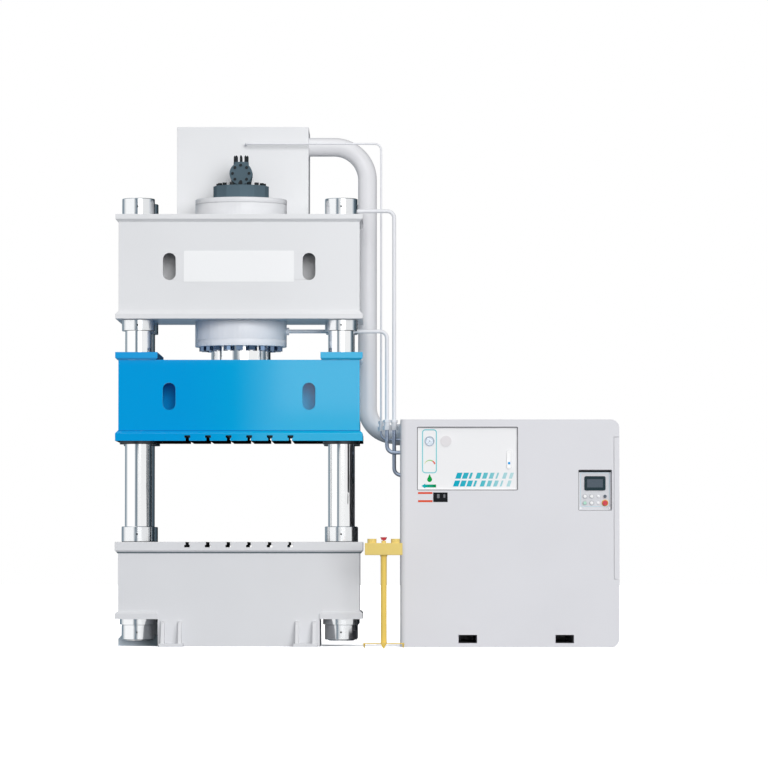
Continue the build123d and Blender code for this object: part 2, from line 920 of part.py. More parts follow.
def pipe_union(x, y, dia):
    """A screwed coupling: a wide lower nut, a neck and a cap nut."""
    wide = dia + 2 * union_margin
    lower = Pos(x, y, union_z) * hexagon_bar(wide, union_nut_height)
    neck = upright(x, y, union_z, union_z + union_height, (dia + wide) / 2)
    cap_z = union_z + union_height - union_cap_height
    cap = Pos(x, y, cap_z) * hexagon_bar(wide - union_margin / 2, union_cap_height)
    bore = upright(x, y, union_z, union_z + union_height, dia + 2 * union_gap)
    return lower + neck + cap - bore


def make_pipe_unions():
    return Compound([
        pipe_union(pilot_x, pilot_y, pilot_dia),
        pipe_union(lift_x, lift_y, line_dia),
        pipe_union(press_x, press_y, line_dia),
    ])


# Power unit cabinet

def cabinet_section(inset):
    """Front view of the cabinet: a rectangle with its right-hand corners rounded."""
    width = cabinet_right - cabinet_left - 2 * inset
    height = cabinet_height - 2 * inset
    middle = (cabinet_left + cabinet_right) / 2
    outline = Pos(middle, cabinet_height / 2) * Rectangle(width, height)
    right = outline.vertices().group_by(Axis.X)[-1]
    return fillet(right, corner_radius - inset)


def recess_plan(x, width, z, height, radius, grow):
    """A recess's rounded outline in the front view, grown on every side."""
    outline = RectangleRounded(width + 2 * grow, height + 2 * grow, radius + grow)
    return Pos(x + width / 2, z + height / 2) * outline


def display_plan(grow=0):
    return recess_plan(display_x, display_width, display_z, display_height, display_radius, grow)


def control_plan(grow=0):
    return recess_plan(control_x, control_width, control_z, control_height, control_radius, grow)


def fork_pockets(grow, y0, y1):
    """The two fork-lift pockets, grown by a wall."""
    z0 = fork_z - grow
    z1 = fork_z + fork_height + grow
    half = fork_width / 2 + grow
    return [block(x - half, x + half, y0, y1, z0, z1) for x in (fork_x, fork_x + fork_spacing)]


def make_cabinet_base():
    y0 = cabinet_front_y + sheet
    y1 = cabinet_back_y - sheet
    flat_end = cabinet_right - corner_radius
    blank = front_slab(cabinet_section(sheet), y0, y1)
    blank += block(cabinet_left + sheet, flat_end, y0, y1, 0, sheet)
    frame = blank & block(cabinet_left, cabinet_right, y0, y1, 0, base_height)
    hollow = block(cabinet_left + sheet + base_rail, flat_end, y0 + base_rail, y1 - base_rail,
                   0, base_height - deck_thickness)
    frame -= hollow
    corner = frame.edges().filter_by(Axis.Z).group_by(Axis.X)[0].sort_by(Axis.Y)[0]
    frame = fillet(corner, edge_radius - sheet)
    frame = fused(frame, fork_pockets(fork_wall, y0, y1))
    return cut(frame, fork_pockets(0, y0, y1))


def make_cabinet_front():
    y0 = cabinet_front_y
    y1 = y0 + sheet
    front = front_slab(cabinet_section(0), y0, y1)
    x_flat = cabinet_left + edge_radius
    front &= block(x_flat, cabinet_right, y0, y1, 0, cabinet_height)
    bend = upright(x_flat, y0 + edge_radius, 0, cabinet_height, 2 * edge_radius)
    bend -= upright(x_flat, y0 + edge_radius, 0, cabinet_height, 2 * (edge_radius - sheet))
    bend &= block(cabinet_left, x_flat, y0, y0 + edge_radius, 0, cabinet_height)
    y_return = y0 + edge_radius
    side = block(cabinet_left, cabinet_left + sheet, y_return, y_return + front_return,
                 0, cabinet_height)
    front = front + bend + side
    front -= front_slab(display_plan(), y0, y1)
    front -= front_slab(control_plan(), y0, y1)
    front -= block(cabinet_right - door_lip - door_gap, cabinet_right, y0, y1,
                   door_z - door_gap, door_z + door_height + door_gap)
    return cut(front, fork_pockets(0, y0, y1))


def roof_seam_x():
    """Where the flat roof meets the folded right-hand side."""
    return cabinet_right - corner_radius - roof_lap


def make_cabinet_cover():
    """Roof and left side folded from one sheet, with holes for the pipes."""
    y0 = cabinet_front_y + sheet
    y_side = cabinet_front_y + edge_radius + front_return
    y1 = cabinet_back_y - sheet
    x0 = cabinet_left
    x1 = x0 + sheet
    z0 = cabinet_height - sheet
    cover = block(x0, roof_seam_x(), y_side, y1, z0, cabinet_height)
    cover += block(x0 + edge_radius, roof_seam_x(), y0, y_side, z0, cabinet_height)
    bend_y = cabinet_front_y + edge_radius
    cover += upright(x0 + edge_radius, bend_y, z0, cabinet_height, 2 * (edge_radius - sheet))
    cover += block(x1, x0 + edge_radius, bend_y, y_side, z0, cabinet_height)
    cover += block(x0, x1, y_side, y1, 0, cabinet_height)
    grow = 2 * pipe_hole_gap
    cover -= along_x(suction_y, suction_low_z, x0, x1, suction_dia + grow)
    cover -= along_x(pilot_y, pilot_low_z, x0, x1, pilot_dia + grow)
    cover -= along_x(lift_y, lift_low_z, x0, x1, line_dia + grow)
    return cover - along_x(press_y, press_low_z, x0, x1, line_dia + grow)


def hinge_heights():
    """Middle height of each door hinge."""
    return (door_z + hinge_inset, door_z + door_height - hinge_inset)


def door_back_y():
    """Rear edge of the side door."""
    return cabinet_front_y + door_length


def hinge_axis():
    """Plan position of the door's hinge line, outside the rear edge of the door."""
    x = cabinet_right + hinge_stand + hinge_barrel_dia / 2
    return (x, door_back_y() + door_gap / 2)


def make_cabinet_right_side():
    y0 = cabinet_front_y + sheet
    y1 = cabinet_back_y - sheet
    shell = front_slab(cabinet_section(0), y0, y1) - front_slab(cabinet_section(sheet), y0, y1)
    upper = block(roof_seam_x(), cabinet_right, y0, y1, corner_radius, cabinet_height)
    lower = block(cabinet_right - corner_radius, cabinet_right, y0, y1, 0, corner_radius)
    side = shell & (upper + lower)
    side -= block(cabinet_right - sheet, cabinet_right, y0, door_back_y() + door_gap,
                  door_z - door_gap, door_z + door_height + door_gap)
    x, y = hinge_axis()
    for z in hinge_heights():
        for z0 in (z - 1.5 * hinge_knuckle, z + 0.5 * hinge_knuckle):
            barrel = upright(x, y, z0, z0 + hinge_knuckle, hinge_barrel_dia)
            leaf = block(cabinet_right, x, y + door_gap / 2, y + 2 * hinge_barrel_dia,
                         z0, z0 + hinge_knuckle)
            side = side + barrel + leaf
        side += upright(x, y, z - hinge_knuckle, z + hinge_knuckle, hinge_pin_dia)
    return side


def make_side_door():
    z1 = door_z + door_height
    x1 = cabinet_right
    y0 = cabinet_front_y
    door = block(x1 - sheet, x1, y0, door_back_y(), door_z, z1)
    door += block(x1 - door_lip, x1, y0, y0 + sheet, door_z, z1)
    x, y = hinge_axis()
    for z in hinge_heights():
        z0 = z - hinge_knuckle / 2 + hinge_end_gap
        z2 = z + hinge_knuckle / 2 - hinge_end_gap
        door += upright(x, y, z0, z2, hinge_barrel_dia)
        door += block(x1, x, y - 2 * hinge_barrel_dia, y - door_gap / 2, z0, z2)
        door -= upright(x, y, z0, z2, hinge_pin_dia + 2 * hinge_gap)
    return door


def make_cabinet_back():
    return front_slab(cabinet_section(0), cabinet_back_y - sheet, cabinet_back_y)


# Display recess

def make_display_panel():
    y0 = cabinet_front_y + sheet
    y1 = y0 + display_recess
    panel = front_slab(display_plan(control_wall), y0, y1 + control_wall)
    panel -= front_slab(display_plan(), y0, y1)
    panel -= along_y(pressure_gauge_x, pressure_gauge_z, y1, y1 + control_wall,
                     pressure_gauge_dia - 2 * pressure_gauge_rim)
    return panel


def display_face_y():
    """Front face of the display panel."""
    return cabinet_front_y + sheet + display_recess


def make_pressure_gauge():
    face = display_face_y()
    rim_y = face - pressure_gauge_depth / 2
    rim = along_y(pressure_gauge_x, pressure_gauge_z, rim_y, face, pressure_gauge_dia)
    rim -= along_y(pressure_gauge_x, pressure_gauge_z, rim_y, face,
                   pressure_gauge_dia - 2 * pressure_gauge_rim)
    inner = pressure_gauge_dia - 2 * pressure_gauge_rim - 2 * needle_gap
    body = along_y(pressure_gauge_x, pressure_gauge_z, face, face + pressure_gauge_depth, inner)
    lip = along_y(pressure_gauge_x, pressure_gauge_z, face - needle_gap, face,
                  pressure_gauge_dia - pressure_gauge_rim)
    return rim + body + lip


def make_gauge_needle():
    face = display_face_y() - 2 * needle_gap
    y0 = face - needle_thickness
    hub = along_y(0, 0, y0, face, 2 * needle_width)
    pointer = extrude(Plane.XZ * make_face(Polyline(
        (-needle_width / 2, 0), (needle_width / 2, 0), (needle_width / 8, needle_length),
        (-needle_width / 8, needle_length), close=True)), face - y0)
    needle = hub + Pos(0, face, 0) * pointer
    return Pos(pressure_gauge_x, 0, pressure_gauge_z) * Rot(0, needle_rest_angle, 0) * needle


def make_round_cover():
    face = display_face_y()
    cover = along_y(round_cover_x, pressure_gauge_z, face - round_cover_depth, face,
                    round_cover_dia)
    for turn in (90, 210, 330):
        reach = round_cover_dia / 2 - round_cover_screw_dia
        x = round_cover_x + reach * cos(turn * pi / 180)
        z = pressure_gauge_z + reach * sin(turn * pi / 180)
        y0 = face - round_cover_depth - round_cover_screw_dia / 4
        cover += along_y(x, z, y0, face - round_cover_depth, round_cover_screw_dia)
    return cover


def make_level_gauge():
    face = display_face_y()
    pill = SlotOverall(level_gauge_height, level_gauge_width, rotation=90)
    place = Pos(level_gauge_x, level_gauge_z + level_gauge_height / 2)
    body = front_slab(place * pill, face - level_gauge_depth, face)
    channel = SlotOverall(level_channel_height, level_channel_width, rotation=90)
    return body - front_slab(place * channel, face - level_gauge_depth,
                               face - level_gauge_depth / 2)


# Control recess

def control_face_y():
    """Front face of the control plate."""
    return cabinet_front_y + sheet + control_recess


def key_places():
    """Centres of the four columns and two rows of control devices, by column and row."""
    x0 = control_x + (control_width - 3 * key_pitch) / 2
    z0 = control_z + key_row_z
    return [[(x0 + column * key_pitch, z0 + row * key_pitch) for row in (1, 0)]
            for column in range(4)]


def push_places():
    return [place for column in key_places()[:2] for place in column]


def stop_place():
    return key_places()[3][1]


def selector_place():
    return key_places()[3][0]


def make_control_box():
    y0 = cabinet_front_y + sheet
    face = control_face_y()
    back = face + control_plate
    box = front_slab(control_plan(control_wall), y0, back)
    box -= front_slab(control_plan(), y0, face)
    outer = key_dia + 2 * key_gap + 2 * key_ring_wall
    for x, z in push_places() + [selector_place()]:
        box += along_y(x, z, face - key_ring_height, face, outer)
        box -= along_y(x, z, face - key_ring_height, face, key_dia + 2 * key_gap)
        box -= along_y(x, z, face, back, key_stem_dia + 2 * key_gap)
    x, z = stop_place()
    box += along_y(x, z, face - stop_ring_height, face, stop_ring_dia)
    box -= along_y(x, z, face - stop_ring_height, back, key_stem_dia + 2 * key_gap)
    return box


def make_control_screen():
    face = control_face_y()
    x = control_x + control_width / 2
    z = control_z + control_height - screen_drop - screen_height / 2
    bezel = Pos(x, z) * RectangleRounded(screen_width, screen_height, screen_radius)
    glass = Pos(x, z) * Rectangle(glass_width, glass_height)
    screen = front_slab(bezel, face - screen_depth, face)
    return screen - front_slab(glass, face - screen_depth, face - screen_depth + glass_recess)


def make_indicator_lamps():
    face = control_face_y()
    lamps = []
    for x, z in key_places()[2]:
        lamp = along_y(x, z, face - lamp_height, face, lamp_dia)
        front = lamp.edges().filter_by(GeomType.CIRCLE).group_by(Axis.Y)[0]
        lamps.append(fillet(front, lamp_height / 2))
    return Compound(lamps)


def make_push_button(place):
    x, z = place
    face = control_face_y()
    base = face - key_travel - key_gap
    cap = along_y(x, z, face - key_height, base, key_dia)
    front = cap.edges().filter_by(GeomType.CIRCLE).group_by(Axis.Y)[0]
    cap = chamfer(front, key_bevel)
    return cap + along_y(x, z, base, base + key_stem_length, key_stem_dia)


def make_selector_switch():
    x, z = selector_place()
    face = control_face_y() - key_gap
    knob = along_y(x, z, face - key_height, face, key_dia)
    bar = block(x - selector_bar / 2, x + selector_bar / 2, face - selector_height, face,
                z - key_dia / 2 + key_bevel, z + key_dia / 2 - key_bevel)
    return knob + bar + along_y(x, z, face, face + key_stem_length, key_stem_dia)


def make_control_estop():
    x, z = stop_place()
    base = control_face_y() - stop_ring_height - stop_travel - stop_lift
    cap = along_y(x, z, base - stop_height, base, stop_dia)
    front = cap.edges().filter_by(GeomType.CIRCLE).group_by(Axis.Y)[0]
    cap = fillet(front, stop_edge)
    stem_end = control_face_y() + control_plate
    return cap + along_y(x, z, base, stem_end, key_stem_dia)


# Inside the power unit

def post_places():
    """The two posts that carry the manifold."""
    y0 = manifold_y + post_width
    y1 = manifold_y + manifold_width - post_width
    return [(manifold_x + manifold_depth / 2, y) for y in (y0, y1)]


def make_oil_reservoir():
    x1 = reservoir_x + reservoir_width
    y1 = reservoir_y + reservoir_depth
    w = reservoir_wall
    tank = block(reservoir_x, x1, reservoir_y, y1, base_height, reservoir_top)
    tank -= block(reservoir_x + w, x1 - w, reservoir_y + w, y1 - w,
                  base_height + w, reservoir_top - w)
    hole = suction_dia + 2 * pipe_hole_gap
    tank -= upright(suction_inlet_x, suction_y, reservoir_top - w, reservoir_top, hole)
    half = post_width / 2
    for x, y in post_places():
        tank += block(x - half, x + half, y - half, y + half, reservoir_top, manifold_z)
    return tank


def make_valve_manifold():
    x1 = manifold_x + manifold_depth
    y1 = manifold_y + manifold_width
    body = block(manifold_x, x1, manifold_y, y1, manifold_z, manifold_z + manifold_height)
    y = (manifold_y + y1) / 2
    for index in range(valve_count):
        z = manifold_z + (index + 0.5) * manifold_height / valve_count
        body += block(x1, x1 + valve_width, y - valve_length / 2, y + valve_length / 2,
                      z - valve_height / 2, z + valve_height / 2)
        body += along_y(x1 + valve_width / 2, z, y - coil_length / 2, y + coil_length / 2,
                        coil_dia)
    return body


def drive_axis():
    """Height and depth of the motor and pump shafts."""
    return (motor_y, motor_z)


def coupling_span():
    x1 = motor_x - coupling_gap
    return (x1 - coupling_length, x1)


def make_pump_motor():
    y, z = drive_axis()
    x1 = motor_x + motor_length
    body = along_x(y, z, motor_x, x1, motor_dia)
    for index in range(motor_fin_count):
        turn = (index + 0.5) * 360 / motor_fin_count
        fin = block(motor_x + motor_fin, x1 - motor_fin, -motor_fin / 4, motor_fin / 4,
                    0, motor_dia / 2 + motor_fin)
        body += Pos(0, y, z) * Rot(turn, 0, 0) * fin
    body += along_x(y, z, x1, x1 + motor_fan_length, motor_fan_dia)
    for x in (motor_x + motor_foot_length, x1 - 2 * motor_foot_length):
        body += block(x, x + motor_foot_length, y - motor_foot / 2, y + motor_foot / 2,
                      reservoir_top, z)
    return body - along_x(y, z, motor_x, motor_x + shaft_seat, shaft_dia + 2 * shaft_gap)


def make_drive_coupling():
    y, z = drive_axis()
    x0, x1 = coupling_span()
    body = along_x(y, z, x0, x1, coupling_dia)
    g0 = (x0 + x1 - coupling_groove) / 2
    g1 = g0 + coupling_groove
    groove = along_x(y, z, g0, g1, coupling_dia)
    groove -= along_x(y, z, g0, g1, coupling_dia - 2 * coupling_groove_depth)
    reach = coupling_gap + shaft_seat - hinge_end_gap
    return body - groove + along_x(y, z, x0 - reach, x1 + reach, shaft_dia)


def make_oil_pump():
    y, z = drive_axis()
    x1 = coupling_span()[0] - coupling_gap
    x0 = x1 - pump_length
    body = along_x(y, z, x0, x1, pump_dia)
    half = pump_dia / 2
    body += block(x1 - pump_flange, x1, y - half, y + half, z - half, z + half)
    foot_x = (x0 + x1 - motor_foot_length) / 2
    body += block(foot_x, foot_x + motor_foot_length, y - pump_foot / 2, y + pump_foot / 2,
                  reservoir_top, z)
    body += upright((x0 + x1) / 2, y, z, z + half + pump_port, half)
    return body - along_x(y, z, x1 - shaft_seat, x1, shaft_dia + 2 * shaft_gap)


# Two-hand pedestal

def at_pedestal(shape):
    return Pos(pedestal_x, pedestal_y, 0) * shape


def make_pedestal_stand():
    hub_z = leg_height - leg_thickness
    stand = ring(0, 0, hub_z, pedestal_box_z, pole_dia, pole_dia - 2 * pole_wall)
    stand += upright(0, 0, hub_z, leg_height, pole_hub_dia)
    collar_z = pedestal_box_z - pole_collar_height
    stand += ring(0, 0, collar_z, pedestal_box_z, pole_collar_dia, pole_dia - pole_wall)
    leg = block(0, leg_reach, -leg_width / 2, leg_width / 2, hub_z, leg_height)
    top = Pos(leg_reach - leg_foot_width / 2, 0, hub_z) * Rectangle(leg_foot_width, leg_width)
    tip = Pos(leg_reach - leg_foot_width / 2, 0, 0) * Rectangle(leg_foot_tip, leg_foot_tip)
    leg += loft([top, tip])
    for turn in range(0, 360, 90):
        stand += Rot(0, 0, turn) * leg
    return at_pedestal(stand)


def make_pedestal_box():
    box = Pos(0, 0, pedestal_box_z) * Box(
        pedestal_box_width, pedestal_box_depth, pedestal_box_height, align=BASE)
    box = fillet(box.edges(), pedestal_box_radius)
    box += upright(0, 0, pedestal_top, pedestal_top + pedestal_neck_height, pedestal_neck_dia)
    stem = palm_stem_dia + 2 * key_gap
    for x in (-guard_spacing / 2, guard_spacing / 2):
        box -= upright(x, 0, pedestal_top - palm_stem_length - palm_travel, pedestal_top, stem)
    box -= upright(0, 0, pedestal_top - palm_stem_length - palm_travel,
                   pedestal_top + pedestal_neck_height, key_stem_dia + 2 * key_gap)
    return at_pedestal(box)


def make_palm_guards():
    inner = guard_dia - 2 * guard_wall
    guards = [ring(x, 0, pedestal_top, pedestal_top + guard_height, guard_dia, inner)
              for x in (-guard_spacing / 2, guard_spacing / 2)]
    return at_pedestal(Compound(guards))


def make_palm_button(side):
    x = side * guard_spacing / 2
    z0 = pedestal_top + palm_travel + stop_lift
    z1 = pedestal_top + palm_height
    cap = upright(x, 0, z0, z1, palm_dia)
    cap = fillet(cap.edges().filter_by(GeomType.CIRCLE).group_by(Axis.Z)[-1], palm_edge)
    return at_pedestal(cap + upright(x, 0, pedestal_top - palm_stem_length, z0, palm_stem_dia))


def make_pedestal_estop():
    z0 = pedestal_top + pedestal_neck_height + pedestal_stop_travel + stop_lift
    cap = Pos(0, 0, z0) * Cone(pedestal_stop_low_dia / 2, pedestal_stop_top_dia / 2,
                               pedestal_stop_height, align=BASE)
    stem = upright(0, 0, pedestal_top - palm_stem_length, z0, key_stem_dia)
    return at_pedestal(cap + stem)


def make_parts():
    """Every node by name."""
    nodes = {
        "bed_frame": make_bed_frame(),
        "bed_table": make_bed_table(),
        "side_foot": make_side_foot(),
    }
    sides = ("left_front", "left_rear", "right_front", "right_rear")
    for side, spot in zip(sides, corners()):
        nodes["column_" + side] = make_column(spot)
    nodes["column_nuts"] = make_column_nuts()
    nodes["bed_washers"] = make_bed_washers()
    nodes["crown"] = make_crown()
    nodes["slide_frame"] = make_slide_frame()
    nodes["slide_platen"] = make_slide_platen()
    nodes["guide_bushes"] = make_guide_bushes()
    nodes["bush_retainers"] = make_bush_retainers()
    nodes["main_cylinder"] = make_main_cylinder()
    nodes["cylinder_nut"] = make_cylinder_nut()
    nodes["cylinder_gland"] = make_cylinder_gland()
    nodes["ram_packing"] = make_ram_packing()
    nodes["gland_bolts"] = make_gland_bolts()
    nodes["piston_rod"] = make_piston_rod()
    nodes["prefill_valve"] = make_prefill_valve()
    nodes["prefill_bolts"] = make_prefill_bolts()
    nodes["prefill_tank"] = make_prefill_tank()
    nodes["tank_bracket"] = make_tank_bracket()
    nodes["suction_pipe"] = make_suction_pipe()
    nodes["pilot_pipe"] = make_pilot_pipe()
    nodes["lift_pipe"] = make_lift_pipe()
    nodes["press_pipe"] = make_press_pipe()
    nodes["pipe_unions"] = make_pipe_unions()
    nodes["cabinet_base"] = make_cabinet_base()
    nodes["cabinet_front"] = make_cabinet_front()
    nodes["cabinet_right_side"] = make_cabinet_right_side()
    nodes["cabinet_cover"] = make_cabinet_cover()
    nodes["cabinet_back"] = make_cabinet_back()
    nodes["side_door"] = make_side_door()
    nodes["display_panel"] = make_display_panel()
    nodes["pressure_gauge"] = make_pressure_gauge()
    nodes["gauge_needle"] = make_gauge_needle()
    nodes["round_cover"] = make_round_cover()
    nodes["level_gauge"] = make_level_gauge()
    nodes["control_box"] = make_control_box()
    nodes["control_screen"] = make_control_screen()
    nodes["indicator_lamps"] = make_indicator_lamps()
    for number, place in enumerate(push_places(), 1):
        nodes["push_button_" + str(number)] = make_push_button(place)
    nodes["selector_switch"] = make_selector_switch()
    nodes["control_estop"] = make_control_estop()
    nodes["oil_reservoir"] = make_oil_reservoir()
    nodes["valve_manifold"] = make_valve_manifold()
    nodes["pump_motor"] = make_pump_motor()
    nodes["drive_coupling"] = make_drive_coupling()
    nodes["oil_pump"] = make_oil_pump()
    nodes["pedestal_stand"] = make_pedestal_stand()
    nodes["pedestal_box"] = make_pedestal_box()
    nodes["palm_guards"] = make_palm_guards()
    nodes["palm_button_left"] = make_palm_button(-1)
    nodes["palm_button_right"] = make_palm_button(1)
    nodes["pedestal_estop"] = make_pedestal_estop()
    return nodes


os.makedirs("parts", exist_ok=True)
for name, shape in make_parts().items():
    export_step(shape, "parts/" + name + ".step")
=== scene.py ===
# %% [markdown]
# # A four-column hydraulic press
#
# The press, its power unit and its pedestal arrive from CAD as solids that already have the
# right size and place. This notebook gives them their looks: it adds what a drawing office
# leaves out, such as weld beads, printed panels and glass, and it paints every surface.
#
# All lengths are metres. +Z is up, the front faces -Y and the power unit stands on +X.

import bmesh
import bpy
import numpy as np
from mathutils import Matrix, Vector


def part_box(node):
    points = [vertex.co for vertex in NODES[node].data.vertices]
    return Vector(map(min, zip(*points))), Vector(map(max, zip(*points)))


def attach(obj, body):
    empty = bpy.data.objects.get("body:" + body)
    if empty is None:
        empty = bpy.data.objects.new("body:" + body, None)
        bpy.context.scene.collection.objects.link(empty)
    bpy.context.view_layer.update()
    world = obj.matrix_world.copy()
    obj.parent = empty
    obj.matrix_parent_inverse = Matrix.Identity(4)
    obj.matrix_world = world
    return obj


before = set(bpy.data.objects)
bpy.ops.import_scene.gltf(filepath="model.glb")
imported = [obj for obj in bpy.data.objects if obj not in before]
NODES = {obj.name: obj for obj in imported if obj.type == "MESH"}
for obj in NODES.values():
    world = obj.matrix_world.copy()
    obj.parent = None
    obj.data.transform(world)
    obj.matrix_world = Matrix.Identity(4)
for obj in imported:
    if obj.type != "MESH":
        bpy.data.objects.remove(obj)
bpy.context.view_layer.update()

# %% [markdown]
# ## The camera
#
# The photograph is taken from far away with a long lens, so the machine hardly tapers with
# distance. Lines that run straight back meet at one point, and that point is as high as the
# camera. Tilting the camera up by about two degrees puts the machine back in the middle of the
# frame, as the photographer did.

# %% The camera
SENSOR = 0.036
PICTURE = 768
FOCAL = 0.2164
CAMERA_PLACE = (1.32, -40.85, 0.7735)
CAMERA_TILT = 2.159
CAMERA_TURN = 0.0743
PLATE_HALF_DEPTH = 0.55

lens = bpy.data.cameras.new("camera")
lens.sensor_width = 1000 * SENSOR
lens.lens = 1000 * FOCAL
lens.clip_end = 500
camera = bpy.data.objects.new("camera", lens)
camera.location = CAMERA_PLACE
camera.rotation_euler = np.radians((90 + CAMERA_TILT, 0, CAMERA_TURN))
bpy.context.scene.collection.objects.link(camera)
bpy.context.scene.camera = camera
distance = -CAMERA_PLACE[1] - PLATE_HALF_DEPTH
print("one pixel at the press is", round(distance * SENSOR / PICTURE / FOCAL * 1000, 2), "mm")

# %% [markdown]
# ## Arithmetic on shader sockets
#
# A finish is a small calculation on every point of a surface: how far it is from an edge, how
# round the bar it lies on, how rough the grain is. Blender does such sums with Math nodes. The
# class below wraps a node's output so that Python's own operators add those nodes, and a
# formula in this file reads like the formula on paper.

# %% Sockets that can be added and multiplied
class Value:
    """One output of a node; operators on it add Math nodes to the same tree."""

    def __init__(self, tree, socket):
        self.tree = tree
        self.socket = socket

    def node(self, kind, settings=None, inputs=None, out=0):
        """Adds a node, sets it up, feeds its inputs and returns one output."""
        made = self.tree.nodes.new("ShaderNode" + kind)
        for name, value in (settings or {}).items():
            if name == "stops":
                set_stops(made.color_ramp, value)
            else:
                setattr(made, name, value)
        for key, value in (inputs or {}).items():
            if isinstance(value, Value):
                self.tree.links.new(value.socket, made.inputs[key])
            else:
                made.inputs[key].default_value = value
        return Value(self.tree, made.outputs[out])

    def maths(self, operation, *operands):
        """A Math node on these operands, in order."""
        return self.node("Math", {"operation": operation}, dict(enumerate(operands)))

    def __add__(self, other):
        return self.maths("ADD", self, other)

    def __sub__(self, other):
        return self.maths("SUBTRACT", self, other)

    def __mul__(self, other):
        return self.maths("MULTIPLY", self, other)

    def __truediv__(self, other):
        return self.maths("DIVIDE", self, other)

    def __rsub__(self, other):
        return self.maths("SUBTRACT", other, self)

    __radd__ = __add__
    __rmul__ = __mul__

    def __abs__(self):
        return self.maths("ABSOLUTE", self)

    def most(self, other):
        """The larger of the two."""
        return self.maths("MAXIMUM", self, other)

    def rise(self, low, high):
        """0 below low, 1 above high and a smooth step between them."""
        settings = {"interpolation_type": "SMOOTHSTEP"}
        inputs = {"Value": self, "From Min": low, "From Max": high}
        return self.node("MapRange", settings, inputs)

    def fall(self, low, high):
        """1 below low, 0 above high and a smooth step between them."""
        return 1 - self.rise(low, high)

    def root(self):
        """The square root."""
        return self.maths("SQRT", self)

    def parts(self):
        """The X, Y and Z of a vector, as three values."""
        split = self.node("SeparateXYZ", inputs={0: self})
        return [Value(self.tree, out) for out in split.socket.node.outputs]


def set_stops(ramp, stops):
    """Gives a colour ramp its stops, each a position and a colour."""
    while len(ramp.elements) < len(stops):
        ramp.elements.new(0.5)
    for element, (position, colour) in zip(ramp.elements, stops):
        element.position = position
        element.color = (*colour, 1)


named = [name for name in dir(Value) if not name.startswith("__")]
print("a value knows", ", ".join(named))

# %% [markdown]
# A colour is written as it looks on a screen, from 0 to 255, because that is how paint cards
# and photographs give it. Light adds up on another scale, so each one is converted once.

# %% Colours
def colour(red, green, blue):
    """Screen levels 0-255 to linear light: v/12.92 below 0.04045, else ((v+0.055)/1.055)^2.4."""
    level = np.array((red, green, blue)) / 255
    linear = np.where(level <= 0.04045, level / 12.92, ((level + 0.055) / 1.055) ** 2.4)
    return tuple(float(part) for part in linear)


GREY = colour(227, 228, 230)
GREY_BED = colour(222, 223, 226)
CABINET_GREY = colour(226, 226, 230)
BLUE = colour(0, 157, 224)
# Painted light: a lighter blue for the slide's right half.
BLUE_PAINTED_LIGHT = colour(0, 176, 224)
SLATE = colour(86, 104, 114)
YELLOW = colour(238, 205, 100)
PALE_YELLOW = colour(234, 208, 122)
print("grey reflects", round(GREY[0], 3), "of the light")

# %% [markdown]
# ## Starting a finish
#
# Every finish starts from the same shader and the same coordinates: the place of the point in
# the machine, in metres. That keeps the grain the same size on a gauge and on a beam, and
# nothing slides when a part moves, because the object carries its own coordinates along.

# %% A blank finish
class Finish:
    """A material with a Principled shader, its coordinates and ways to fill its sockets."""

    def __init__(self, name, base, roughness, metallic=0.0, coat=0.0):
        self.material = bpy.data.materials.new(name)
        self.material.use_nodes = True
        self.tree = self.material.node_tree
        self.shader = self.tree.nodes["Principled BSDF"]
        self.set("Base Color", (*base, 1))
        self.set("Roughness", roughness)
        self.set("Metallic", metallic)
        self.set("Coat Weight", coat)
        self.start = Value(self.tree, None)
        self.place = self.start.node("TexCoord", out="Object")
        self.x, self.y, self.z = self.place.parts()
        self.bump = None

    def set(self, name, value):
        """A number goes on the shader's own socket and a varying value is linked to it."""
        if isinstance(value, Value):
            self.tree.links.new(value.socket, self.shader.inputs[name])
        else:
            self.shader.inputs[name].default_value = value

    def fed(self, name):
        """What is linked to a socket of the shader."""
        return Value(self.tree, self.shader.inputs[name].links[0].from_socket)

    def noise(self, scale, detail=3.0, stretch=(1, 1, 1)):
        """Noise around 0.5 whose grains are 1/scale metres, drawn out along an axis."""
        place = self.place
        if stretch != (1, 1, 1):
            place = self.start.node("VectorMath", {"operation": "MULTIPLY"}, {0: place, 1: stretch})
        inputs = {"Vector": place, "Scale": scale, "Detail": detail}
        return self.start.node("TexNoise", inputs=inputs)

    def mix(self, mask, first, second):
        """One colour where the mask is 0 and another where it is 1."""
        inputs = {0: mask, 6: first if isinstance(first, Value) else (*first, 1),
                  7: second if isinstance(second, Value) else (*second, 1)}
        return self.start.node("Mix", {"data_type": "RGBA"}, inputs, out=2)

    def emboss(self, height, depth):
        """Bumps the surface by a height of 0 to 1 that stands for a depth in metres."""
        inputs = {"Height": height, "Distance": depth, "Strength": 1.0}
        if self.bump:
            inputs["Normal"] = self.bump
        self.bump = self.start.node("Bump", inputs=inputs)
        self.set("Normal", self.bump)


print("finish ready")

# %% [markdown]
# ## Sprayed paint on steel
#
# Paint on a machine this size is sprayed and dries with a very shallow orange-peel ripple. The
# ripple is a few millimetres across and a few hundredths deep, so it never shows as a shape: it
# only softens reflections. Large plates also vary a little in tone, where one pass of the gun
# lies over another, and a dust of overspray makes some of them duller. The cylinder and its nut
# also get a thin clear coat, and the bolts of the gland are plated in a blue-grey metal.

